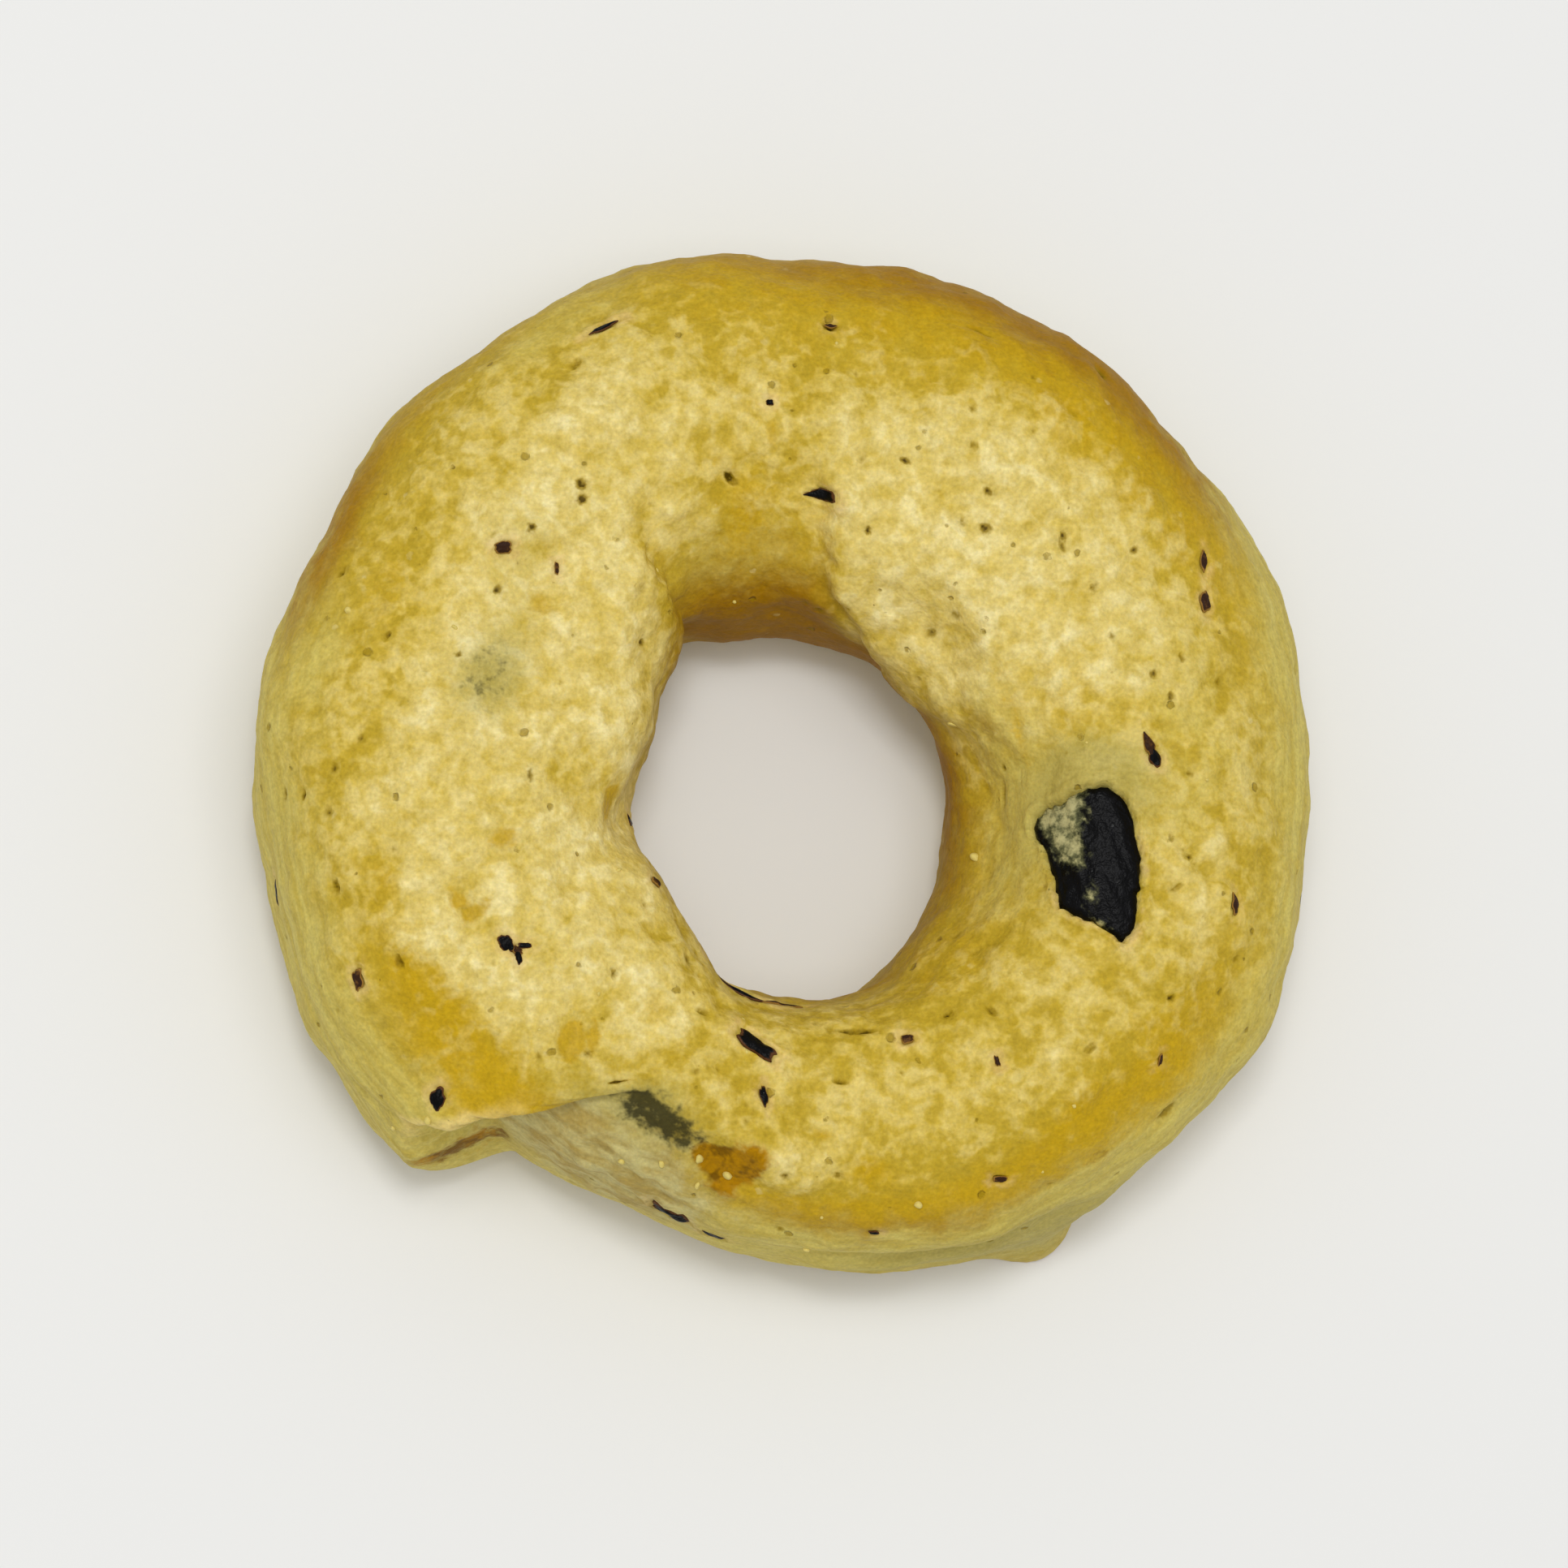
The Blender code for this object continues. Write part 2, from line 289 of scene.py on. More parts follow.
@dataclass(frozen=True)
class Fold:
    """A crisp step along a line over the rope: the dough beside it is puffed up, and sinks away."""

    around: tuple[float, ...]
    angle: tuple[float, ...]
    height: float
    side: float
    width: float = 0.35
    reach: float = 2.4
    groove: float = -0.12
    fade: float = 14.0
    wobble: float = 0.8

    def line(self, around: Values) -> Values:
        """The ring angle of the uneven line at rope angles."""
        uneven = np.sin(0.31 * around + self.height) + 0.7 * np.sin(0.83 * around)
        return np.interp(around, self.around, self.angle) + self.wobble * uneven

    def relief(self, angle: Values, around: Values, radius: Values, rope: float) -> Values:
        """How far the fold moves places on the dough.

        Args:
            angle: Ring angles.
            around: Rope angles.
            radius: Distances from the hole's axis.
            rope: The rope's own radius.

        Returns:
            Heights: positive on the puffed side, negative in the groove beside it.
        """
        turn = np.mod(around, 360.0)
        slope = (self.line(turn + 3) - self.line(turn - 3)) / 6 * radius / rope
        run = np.radians(half_turn(angle - self.line(turn))) * radius
        away = self.side * run / np.hypot(1.0, slope)
        ends = smooth_step((turn - self.around[0]) / self.fade)
        ends = ends * smooth_step((self.around[-1] - turn) / self.fade)
        puffed = self.height * smooth_step(away / self.width) * bell(np.maximum(away, 0) / self.reach)
        return ends * (puffed + self.groove * bell((away / self.width + 0.4) / 0.8))


@dataclass(frozen=True)
class Rope:
    """The plain rope of dough, closed into a ring."""

    outer_radius: float = 18.2
    hole_radius: float = 5.6
    height: float = 11.6
    middle_share: float = 0.47
    section_power: float = 2.15
    sag_share: float = 1.30
    lap: Lap = Lap()
    stations: tuple[Station, ...] = many(
        Station,
        (210, -2.9, 0.3, -0.4), (228, -2.9, 0.05, -0.3), (240, -2.95, 0.5, -0.5),
        (252, -2.85, 1.3, -0.8), (265, -1.9, 1.35, -1), (285, -0.9, 1.6, -1), (305, -0.5, 1.05, -0.7),
        (330, 0.5, 0.4, -0.3), (347, 0.25, -0.05, -0.2), (365, -0.2, -0.15, -0.1),
        (385, 0.15, -0.15, 0), (398, -0.2, -0.1, 0), (415, 0.2, -0.1, 0), (435, 0.25, -0.25, -0.1),
        (450, -0.05, -0.2, -0.2), (468, 0.75, -0.1, -0.4), (484, 0.05, 0.65, -0.4),
        (500, 0.3, -0.1, -0.2), (523, -0.1, -0.95, 0), (545, 0.1, -0.25, 0.1), (565, 0.45, 0.1, 0.1),
        (585, 0.15, 0.05, -0.3), (600, 0, 0.5, -0.5), (612, -0.6, 1.4, -0.8),
    )

    @property
    def ring_radius(self) -> float:
        """The distance of the rope's middle from the hole's axis."""
        return (self.outer_radius + self.hole_radius) / 2

    @property
    def rope_radius(self) -> float:
        """The rope's own radius."""
        return (self.outer_radius - self.hole_radius) / 2

    def along(self, angle: Values, column: str) -> Values:
        """A column of the stations at rope angles, on a smooth curve through them.

        Args:
            angle: Ring angles, counted on from the tucked-under end.
            column: The name of a field of Station.

        Returns:
            The value at each angle.
        """
        angles = np.array([station.angle for station in self.stations])
        values = np.array([getattr(station, column) for station in self.stations])
        slopes = np.gradient(values, angles)
        span = np.clip(np.searchsorted(angles, angle) - 1, 0, len(angles) - 2)
        step = angles[span + 1] - angles[span]
        t = np.clip((angle - angles[span]) / step, 0.0, 1.0)
        start = (1 + 2 * t) * (1 - t) ** 2 * values[span] + t * (1 - t) ** 2 * step * slopes[span]
        end = t * t * (3 - 2 * t) * values[span + 1] + t * t * (t - 1) * step * slopes[span + 1]
        return start + end

    def section(self, angle: Values, around: Values) -> tuple[Values, Values]:
        """The surface of one end's rope.

        Args:
            angle: Ring angles, counted on from the tucked-under end.
            around: Rope angles.

        Returns:
            Distances from the hole's axis, and heights.
        """
        outer = self.outer_radius + self.along(angle, "outer")
        hole = self.hole_radius + self.along(angle, "hole")
        height = self.height + self.along(angle, "height")
        middle = height * self.middle_share
        cosine = np.cos(np.radians(around))
        sine = np.sin(np.radians(around))
        across = np.sign(cosine) * np.abs(cosine) ** (2 / self.section_power)
        up = np.sign(sine) * np.abs(sine) ** (2 / self.section_power)
        rise = np.where(sine > 0, height - middle, middle * self.sag_share)
        return (outer + hole) / 2 + (outer - hole) / 2 * across, middle + rise * up

    def closed(self, angle: Values, around: Values) -> tuple[Values, Values]:
        """The surface of the closed ring, with one end lying over the other.

        Args:
            angle: Ring angles.
            around: Rope angles.

        Returns:
            Distances from the hole's axis, and heights.
        """
        turn = np.mod(angle, 360.0)
        first, last = self.stations[0].angle, self.stations[-1].angle - 360
        under_radius, under_height = self.section(np.where(turn < first, turn + 360, turn), around)
        over_radius, over_height = self.section(np.where(turn < last, turn + 360, turn), around)
        beyond = self.lap.beyond(angle, around, self.outer_radius)
        share = np.where(turn < first, 0.0, smooth_step(beyond))
        radius = over_radius + (under_radius - over_radius) * share
        return radius, over_height + (under_height - over_height) * share


@dataclass(frozen=True)
class Patch:
    """The dough near a place, unrolled flat: X along the ring, Y round the rope, in millimetres."""

    angle: float
    around: float
    along: float
    across: float
    ring_radius: float
    rope_radius: float

    def widening(self, around: Values) -> Values:
        """How much longer a degree of the ring is at rope angles than at the patch's middle."""
        here = self.ring_radius + self.rope_radius * np.cos(np.radians(around))
        return here / (self.ring_radius + self.rope_radius * math.cos(math.radians(self.around)))

    def to_dough(self, x: Values, y: Values) -> tuple[Values, Values]:
        """The ring and rope angles of points of the patch."""
        around = self.around + y / self.across
        return self.angle + x / (self.along * self.widening(around)), around

    def from_dough(self, angle: Values, around: Values) -> tuple[Values, Values]:
        """The points of the patch at ring and rope angles."""
        run, rise = half_turn(angle - self.angle), half_turn(around - self.around)
        return run * self.along * self.widening(around), rise * self.across


@dataclass(frozen=True)
class Shred:
    """A shred of olive in the crust: its place, size, turn, how pointed it is, and its outline."""

    angle: float
    around: float
    length: float
    width: float
    turn: float = 0.0
    point: float = 0.2
    corners: int = 4
    traced: tuple[tuple[float, float], ...] = ()

    def edge(self, direction: Values) -> Values:
        """How far the ragged outline reaches.

        Args:
            direction: Directions from the shred's middle, in radians.

        Returns:
            Distances, about 1.
        """
        seed = 7.3 * self.angle + self.around
        circle = np.stack([np.cos(direction), np.sin(direction), 0 * direction], axis=1)
        if self.traced:
            loop = np.array(self.traced + self.traced[:1]) * (2 / self.length, 2 / self.width)
            steps = np.linspace(0, len(self.traced), 20 * len(self.traced))
            x, y = (np.interp(steps, range(len(loop)), column) for column in loop.T)
            reach = np.interp(direction, np.arctan2(y, x), np.hypot(x, y), period=2 * math.pi)
            return reach + 0.05 * grain(circle, 0.25, seed) + 0.04 * grain(circle, 0.08, seed)
        corners = 0.10 * np.cos(self.corners * direction + seed)
        return 0.95 + corners + 0.22 * grain(circle, 0.60, seed) + 0.10 * grain(circle, 0.20, seed)

    def narrow(self, along: Values) -> Values:
        """How much of its width the shred has, from -1 at its broad end to 1 at its point."""
        return np.clip(1 - self.point * (along / 2 + 0.5), 0.15, None)

    def outline(self, x: Values, y: Values) -> Values:
        """How far out points in the shred's own plane lie.

        Args:
            x: Places along the shred.
            y: Places across it.

        Returns:
            0 in the middle, 1 on the outline.
        """
        along = 2 * x / self.length
        across = 2 * y / (self.width * self.narrow(along))
        return np.hypot(along, across) / self.edge(np.arctan2(across, along))

    def to_patch(self, x: Values, y: Values) -> tuple[Values, Values]:
        """Points of the shred's own plane, turned into the patch of dough under it."""
        turn = math.radians(self.turn)
        return x * math.cos(turn) - y * math.sin(turn), x * math.sin(turn) + y * math.cos(turn)

    def from_patch(self, x: Values, y: Values) -> tuple[Values, Values]:
        """Points of the patch of dough under the shred, turned into its own plane."""
        turn = math.radians(self.turn)
        return x * math.cos(turn) + y * math.sin(turn), y * math.cos(turn) - x * math.sin(turn)


@dataclass(frozen=True)
class Crust:
    """The dough itself: its large forms, its small ones, and what colours it where."""

    rope: Rope = Rope()
    steps_round_ring: int = 470
    steps_round_rope: int = 204
    top_closeness: float = 0.35
    lumps: tuple[tuple[float, float], ...] = ((9.0, 0.50), (4.2, 0.30), (2.2, 0.16))
    reliefs: tuple[Spot, ...] = many(
        Spot,
        # The hole side of the ring's far part is pressed in, between a lobe and a shoulder.
        (102, 143, 7.6, 8.2, -0.6, 0, 1.2), (68, 187, 5, 5, -0.13), (88, 192, 9, 3.4, 0.28),
        # The puffed lobe, and the lean of the wall under it.
        (49, 140, 9.2, 6.6, 0.8, 0, 2.4), (44, 188, 4.5, 4.5, -0.1), (48, 166, 7, 4.2, 0.32, 0, 1.5),
        # The shoulder on the other side of the pressed part, and the bumpy rim after it.
        (138, 142, 5, 7, 0.45, 0, 2), (143, 100, 5, 1.8, -0.35, -30), (170, 138, 3.4, 3.2, 0.5),
        (196, 150, 1.7, 3, -0.45, 15), (217, 146, 2.6, 2.4, 0.35), (218, 168, 3, 3.4, 0.24),
        (150, 165, 6, 4, -0.12), (173, 168, 3, 4, 0.14),
        # The near side of the rope leans towards the hole.
        (350, 148, 15, 7, -0.75),
        # Soft swellings and hollows of the crest.
        (124, 84, 5, 4.4, 0.3), (155, 60, 6, 5, -0.35), (206, 66, 5.5, 3.6, 0.4),
        (240, 96, 3.4, 4.2, -0.35), (268, 70, 4.2, 3.2, 0.4, 0, 1.3), (301, 70, 5.5, 4, 0.3),
        (28, 70, 6.5, 4.5, -0.3),
        # The skirt of dough that spread over the tray at the front, and the corner where it ends.
        (287, 12, 11, 1.8, -0.5, 0, 1.3), (289, -38, 10, 3.6, 0.9, 0, 1.5),
        (303, -42, 3.4, 4.2, 1.65, 0, 1.3),
        # The outer side, where it lies a little further in or out than the plain rope.
        (196, 0, 16, 9, -0.18), (131, 5, 6, 8, -0.2), (61, 5, 5, 8, -0.25), (328, 0, 8, 8, 0.15),
    )
    folds: tuple[Fold, ...] = (
        # The lobe's edge over the pressed part, its end on the hole side, and the shoulder's edge.
        Fold((106, 118, 141, 150, 161, 181), (86, 84.5, 81.5, 74, 63, 48), 0.46, -1, 0.6, 2.6),
        Fold((134, 139, 162, 177, 184), (7, 11, 19.5, 33, 40), 0.16, 1, 0.8, 1.6, -0.05, 10, 0.5),
        Fold((118, 125, 134, 169, 190), (126, 126.5, 127.5, 127.5, 126), 0.42, 1, 0.4, 1.8, -0.15),
    )
    small_forms: tuple[Spot, ...] = many(
        Spot,
        # The torn blister, the pale blister beside it with its pinhole, and the film over the stain.
        (259.5, 58, 2.4, 2.3, -0.24, 25, 3), (267.3, 66, 2.2, 2, 0.2, 0, 2.2),
        (247.5, 73, 3.2, 1.3, 0.14, -25, 1.5),
        # Smooth windows where a bubble of the crust has sunk.
        (230.5, 89, 1.5, 1.7, -0.16, 35, 3.5), (203.5, 87, 1.6, 0.9, -0.13, 0, 3),
        (195.5, 101, 1.2, 1.2, -0.13, 0, 2), (191, 143, 1.5, 1, -0.16, 0, 2), (96, 95, 0.7, 1.4, -0.1),
        # The rounded blister low at the front, the blisters of the crest and the creases by them.
        (312, 75, 2, 1.9, 0.16, 0, 3), (145, 118, 3.6, 2.6, 0.22, 0, 1.6),
        (148, 102, 2.4, 1, -0.26, -50), (137.5, 74, 2.6, 2.2, 0.12, 40, 2),
        (150.5, 122, 1.5, 0.3, -0.1, -60), (127, 77, 2, 1.8, 0.12, 0, 1.6),
        (176, 88, 1.8, 1.6, 0.12, 0, 1.6), (106, 103, 1.4, 1.6, -0.12), (89, 95, 2.2, 2, 0.14, 0, 1.5),
        (82, 90, 1.8, 1.5, 0.12, 0, 1.5), (47, 92, 2.8, 0.35, -0.12, 14),
        (355.5, 148, 0.8, 0.25, -0.16, 10), (11.8, 140, 0.25, 1.6, -0.14), (238, 58, 0.6, 0.3, -0.14),
        (210, 12, 8, 0.45, -0.13, 4), (219, 17, 3, 0.4, -0.12, 30),
        # The dough drawn up round the big shred.
        (354, 104, 2.6, 4, 0.14, 0, 1.6), (331, 102, 2.6, 3.8, 0.12), (342, 128, 4.6, 1.4, 0.12, 25),
    )
    zones: dict[Zone, tuple[Spot, ...]] = field(
        default_factory=lambda: {
            Zone.GOLD: many(
                Spot,
                (56, 48, 14, 6, 0.9), (90, 30, 13, 5.6, 1), (98, 84, 5, 4, 0.25),
                (140, 22, 12, 5, 0.35), (20, 40, 11, 5, 0.35), (149.5, 101, 1, 0.9, 0.8),
                (308.5, 60, 1.6, 1.4, 0.7), (238.5, 113, 1.1, 0.9, 0.8), (17, 112, 4, 4, 0.4),
                (345, 48, 12, 3.6, 0.15), (320, 56, 9, 3.8, 0.7), (318, 38, 9, 3.6, 0.3),
                (104, 128, 1.4, 4, 0.8), (309, 47, 6, 3.4, 0.9), (288, 50, 10, 2.6, 1),
                (266, 48, 6, 1.8, 0.65), (221, 57, 5.4, 3.2, 1), (230, 58, 4.4, 2.6, 1),
                (211, 66, 3.4, 2, 0.6), (204, 58, 5, 3, 0.35), (160, 54, 6, 3, 0.25),
                (112, 146, 5, 4, 0.2), (93, 138, 4, 6, 0.55), (8, 146, 4, 2.6, 0.35),
                (336, 158, 8, 3, 0.25), (318, 140, 9, 4, 0.5), (196, 66, 3, 1.6, 0.35),
                (279.5, 70, 1.6, 1.6, 0.7),
            ),
            # Browned crust low on the outer side; on the hole's walls, painted shade, darkest low down
            # where the hole is deep.
            Zone.BROWN: many(
                Spot,
                (104, 172, 7, 6.6, 0.95), (86, 160, 2.4, 4, 0.5), (58, 158, 5, 5, -0.6),
                (50, 190, 11, 3.6, 0.9), (14, 182, 12, 3.6, 0.3), (13, 142, 2.4, 1.6, 0.55),
                (330, 178, 12, 4, 0.3), (272, 168, 12, 3, 0.4), (70, 20, 14, 5.6, 1.05),
                (42, 24, 12, 5, 0.9), (148, 14, 12, 4.4, 0.6), (156, 21, 6, 2.6, 0.9),
                (106, 14, 12, 4, 0.5), (283, 38, 12, 2.8, 0.85), (112, 147, 8, 4.4, 0.25),
            ),
            Zone.PALE: many(
                Spot,
                (25, -16, 34, 6, 0.8), (95, -16, 34, 6, 0.8), (165, -16, 34, 6, 0.8),
                (235, -18, 30, 6, 0.7), (197, 22, 20, 5, 0.75), (222, 8, 10, 7, 0.85),
                (262, 10, 22, 6, 1), (292, 8, 14, 7, 0.9), (318, 20, 9, 5, 0.6),
                # The spot at 350, 138 lightens the hole's near wall where it is steep: painted light.
                (350, 24, 20, 5.6, 0.7), (22, 22, 10, 4.4, 0.55), (350, 138, 8, 4.6, 0.85),
                (5, 80, 9, 5, 0.4), (108, 140, 8, 3.6, 0.35), (122, 40, 5, 2.4, 0.4),
                (113, 30, 6, 3.6, 0.35), (167, 40, 4, 2.4, 0.45),
            ),
            Zone.CREAM: many(
                Spot,
                (122, 82, 10, 6.5, 0.85), (142, 104, 7, 6.5, 1), (86, 94, 6, 3.6, 0.3),
                (64, 100, 7, 6, 1.05), (46, 126, 9, 7, 1.6), (44, 94, 8, 6.5, 1.4),
                (27, 100, 5, 5, 0.85), (26, 122, 4.5, 3, 0.75), (168, 84, 8, 5, 0.75),
                (184, 96, 9, 6, 1.1), (198, 82, 7, 4.5, 0.8), (216, 84, 6, 4.5, 0.8),
                (222, 108, 7, 5, 0.6), (240, 110, 5, 4, 0.45), (272, 90, 8, 4, 0.25),
                (292, 92, 7, 4, 0.15), (312, 100, 7, 5, 0.2), (352, 78, 14, 6.5, 0.35),
                (8, 66, 10, 6, 0.35), (267.3, 66, 2.4, 2, 0.9), (182, 130, 9, 7, 1.8),
                (160, 118, 6, 5, 0.8),
            ),
            Zone.KHAKI: many(
                Spot,
                (233, 28, 5, 3.4, 1), (239, 40, 5, 4.2, 1), (245.5, 46, 3.8, 3.2, 1),
                (248, 30, 7, 3.6, 0.9), (245, 6, 8, 3.4, 0.9), (300, -4, 5, 5, 0.55),
            ),
            Zone.GREEN: many(
                Spot,
                (166.5, 92, 2.8, 2.2, 0.9), (158, 96, 3, 2, 0.3), (244, 66, 5.4, 3.8, 1.1, -22),
                (298, -4, 9, 7, 0.8), (354, 106, 2.8, 4.6, 0.85), (346, 124, 3.6, 2, 0.55),
                (1, 107, 2, 3.4, 0.9), (106, 134, 6, 4, 0.4), (144, 88, 3.4, 2.6, 0.35),
                (292, 4, 12, 3, 0.6), (258, 146, 5, 1.6, 0.55), (334, 112, 4, 2, 0.4),
            ),
            Zone.STAIN: many(
                Spot,
                (242.3, 69, 1.5, 1.3, 0.66, -35), (243.5, 58, 1.3, 1.2, 0.34),
                (246, 62, 2, 1.3, 0.46, -25), (249.9, 63, 2.3, 1.6, 1.3, -18),
                (166, 92, 2.2, 1.7, 0.24),
            ),
            Zone.ORANGE: many(
                Spot,
                (259, 58, 2.5, 1.9, 1.1, 15, 2.5), (262.8, 69, 1.3, 1.3, 0.95),
                (259.5, 46, 1.3, 1.5, 0.8), (228.8, -4, 3, 1.6, 0.72), (207, 62, 0.6, 0.4, 0.8),
                (308, 42, 2, 1.2, 0.4), (353.5, 98, 0.9, 0.6, 0.45), (336, 118, 1.4, 0.5, 0.45),
            ),
            Zone.WINDOW: many(
                Spot,
                (230.4, 87, 1, 1.4, 1.1, 35, 3), (232.7, 92, 0.4, 1.2, 0.95, 35, 2),
                (203.2, 85.5, 1.3, 0.5, 0.85, 20, 1.6), (205.4, 88.5, 0.5, 1.2, 0.75, 20, 1.6),
                (195.5, 101, 0.9, 1.1, 0.8, 0, 1.5), (191, 143, 1.3, 1, 0.95, 0, 2),
                (96, 95, 0.5, 1.2, 0.6), (272.5, 83, 1.1, 0.6, 0.6), (277.5, 55, 1.1, 0.8, 0.8),
                (280.5, 71, 0.8, 0.6, 0.6), (101, 47, 0.5, 0.2, 0.6), (106, 102, 0.7, 0.6, 0.5),
                (12, 130, 3, 0.7, 0.6),
            ),
        }
    )
    pores: tuple[Spot, ...] = many(
        Spot,
        # Pores and slits of the crest and the sides, each sunk in and painted darker inside: a little
        # olive, and painted shade in the hollow.
        (104.3, 108, 0.5, 0.2, 0.3, -60), (72, 98, 0.38, 0.2, 0.22), (75, 121, 0.24, 0.24, 0.24),
        (143, 136, 0.28, 0.28, 0.2), (129.5, 91, 0.32, 0.3, 0.3), (140.5, 89, 0.4, 0.22, 0.24, 30),
        (164, 83, 0.26, 0.26, 0.16), (178, 60, 0.3, 0.24, 0.18), (181.5, 52, 0.5, 0.34, 0.16),
        (184, 110, 0.5, 0.3, 0.18), (157.5, 37, 0.36, 0.26, 0.22), (207, 62, 0.55, 0.3, 0.22),
        (248, 118, 0.5, 0.22, 0.22), (240, 135, 0.5, 0.22, 0.24), (11, 83, 0.3, 0.26, 0.22),
        (355.2, 147.5, 0.62, 0.18, 0.34, -14), (2, 143, 0.24, 0.2, 0.2), (347, 79, 0.8, 0.18, 0.18, 60),
        (342, 81, 0.6, 0.18, 0.18, -40), (328, 70, 0.28, 0.28, 0.22), (300.5, 116, 0.38, 0.24, 0.26),
        (307.5, 107, 0.3, 0.8, 0.14), (315, 79, 0.6, 0.2, 0.22), (276.5, 103, 0.5, 0.26, 0.2),
        (275, 68, 0.32, 0.3, 0.22), (282, 124.5, 1.3, 0.24, 0.26, -12), (318, 37, 0.8, 0.45, 0.2, 20),
        (119.5, 57, 0.34, 0.24, 0.3), (68, 50, 0.9, 0.16, 0.2), (62.5, 88, 0.24, 0.24, 0.2),
        (53, 36, 0.55, 0.3, 0.24), (56.5, 96, 0.36, 0.24, 0.21), (53, 105, 0.48, 0.32, 0.21, 20),
        (42, 90, 0.29, 0.24, 0.21), (46.5, 143, 0.43, 0.4, 0.18), (33.5, 75, 0.22, 0.36, 0.21),
        (32, 92, 0.29, 0.26, 0.2), (16.5, 77, 0.29, 0.24, 0.2), (15, 87, 0.32, 0.19, 0.21),
        (131, 94, 0.36, 0.3, 0.3), (151.5, 88, 0.36, 0.24, 0.21), (164, 61, 0.4, 0.19, 0.24, 20),
        (183.5, 27, 0.36, 0.26, 0.26), (184, 38, 0.32, 0.24, 0.26), (195.5, 48, 0.5, 0.24, 0.27),
        (104.5, 108, 0.19, 0.43, 0.22), (86.5, 59, 0.5, 0.2, 0.27), (228, 110, 0.32, 0.29, 0.24),
        (228, 78, 0.24, 0.36, 0.21), (267.5, 65, 0.32, 0.36, 0.21), (240, 83, 0.65, 0.19, 0.25, 30),
        (81, 158, 0.43, 0.36, 0.14), (86, 157, 0.29, 0.29, 0.13),
    )
    pore_seed: int = 5
    pore_count: int = 260
    pore_reach: tuple[float, float] = (0.09, 0.19)
    pore_depth_share: tuple[float, float] = (0.3, 0.8)
    # The share of pores kept everywhere, and where on the rope all are kept, with its spread.
    pore_least: float = 0.25
    pore_around: float = 110.0
    pore_spread: float = 70.0
    full_pore: float = 0.2
    # Where on the rope its small relief is strongest, and where its plain side lies.
    top_around: float = 98.0
    top_spread: float = 70.0
    side_around: float = 12.0
    side_spread: float = 30.0
    pebble_size: float = 1.7
    pebble_height: float = 0.16
    grit_size: float = 0.85
    grit_height: float = 0.06
    # Finer grains: their size, the shift of their pattern, their height, and how much higher they
    # are on top and on the torn flank of the lap.
    grains: tuple[tuple[float, ...], ...] = (
        (0.9, 7.7, 0.0315, 0.070, 0.10), (0.42, 1.9, 0.035, 0.0, 0.06),
    )
    full_relief: float = 0.26
    # A shred's socket and the lip round it: how deep or high each is under a shred of no width,
    # and how much more for each millimetre of the width.
    socket_depth: float = 0.10
    socket_deeper: float = 0.09
    socket_lip: float = 0.03
    socket_higher: float = 0.04
    socket_edge: float = 0.14
    # The pale line along the lap's lip, pale dough with a painted highlight on its rounded edge: its
    # middle and spread round the rope, and across the line of the lap, in widths of the step.
    lip_around: float = 38.0
    lip_spread: float = 22.0
    lip_beyond: float = -0.44
    lip_width: float = 0.22
    khaki_edge: float = 0.6
    base_height: float = 0.12

    def relief(self, angle: Values, around: Values, spots: tuple[Spot, ...]) -> Values:
        """The sum of the spots at places on the dough."""
        radius, _ = self.rope.closed(angle, around)
        return sum(spot.at(angle, around, radius, self.rope.rope_radius) for spot in spots)

    def form(self, angle: Values, around: Values) -> Values:
        """The dough's large form, without its small relief.

        Args:
            angle: Ring angles.
            around: Rope angles.

        Returns:
            One row for each point, in millimetres.
        """
        radius, up = self.rope.closed(angle, around)
        turn = np.radians(angle)
        plain = np.stack([radius * np.cos(turn), radius * np.sin(turn), up], axis=1)
        out = self.rope.lap.relief(self.rope.lap.beyond(angle, around, self.rope.outer_radius), around)
        for size, depth in self.lumps:
            out = out + depth * grain(plain, size)
        for fold in self.folds:
            out = out + fold.relief(angle, around, radius, self.rope.rope_radius)
        out = out + self.relief(angle, around, self.reliefs)
        return self.moved(plain, angle, around, out)

    def moved(self, points: Values, angle: Values, around: Values, out: Values) -> Values:
        """Points moved out of the rope and kept above the tray.

        Args:
            points: One row for each point.
            angle: Their ring angles.
            around: Their rope angles.
            out: How far each moves, in millimetres.

        Returns:
            One row for each point, in millimetres.
        """
        turn = np.radians(angle)
        side = np.radians(around)
        outward = np.stack([np.cos(side) * np.cos(turn), np.cos(side) * np.sin(turn), np.sin(side)])
        there = points + outward.T * np.asarray(out)[:, None]
        there[:, 2] = np.maximum(there[:, 2], 0.0)
        return there

    def on_surface(self, angle: Values, around: Values, up: Values, plain: bool) -> Values:
        """Points over or under the crust, ready for a mesh.

        Args:
            angle: Their ring angles.
            around: Their rope angles.
            up: Their heights over the crust, in millimetres.
            plain: Whether they follow the large form only.

        Returns:
            One row for each point, in metres in the shared frame.
        """
        form = self.form(angle, around)
        small = 0.0 if plain else self.fine_relief(form, angle, around)
        forms = self.relief(angle, around, self.small_forms)
        return (self.moved(form, angle, around, up + small + forms) + np.array(HOLE_AXIS)) * MM

    def patch(self, angle: float, around: float) -> Patch:
        """The dough near a place, unrolled flat.

        Args:
            angle: The place's ring angle.
            around: Its rope angle.

        Returns:
            The patch, with the millimetres of a degree along the ring and round the rope.
        """
        angles = np.array([angle - 1.0, angle + 1.0, angle, angle])
        arounds = np.array([around, around, around - 2.0, around + 2.0])
        before, after, below, above = self.form(angles, arounds)
        along = float(np.linalg.norm(after - before)) / 2
        across = float(np.linalg.norm(above - below)) / 4
        return Patch(angle, around, along, across, self.rope.ring_radius, self.rope.rope_radius)

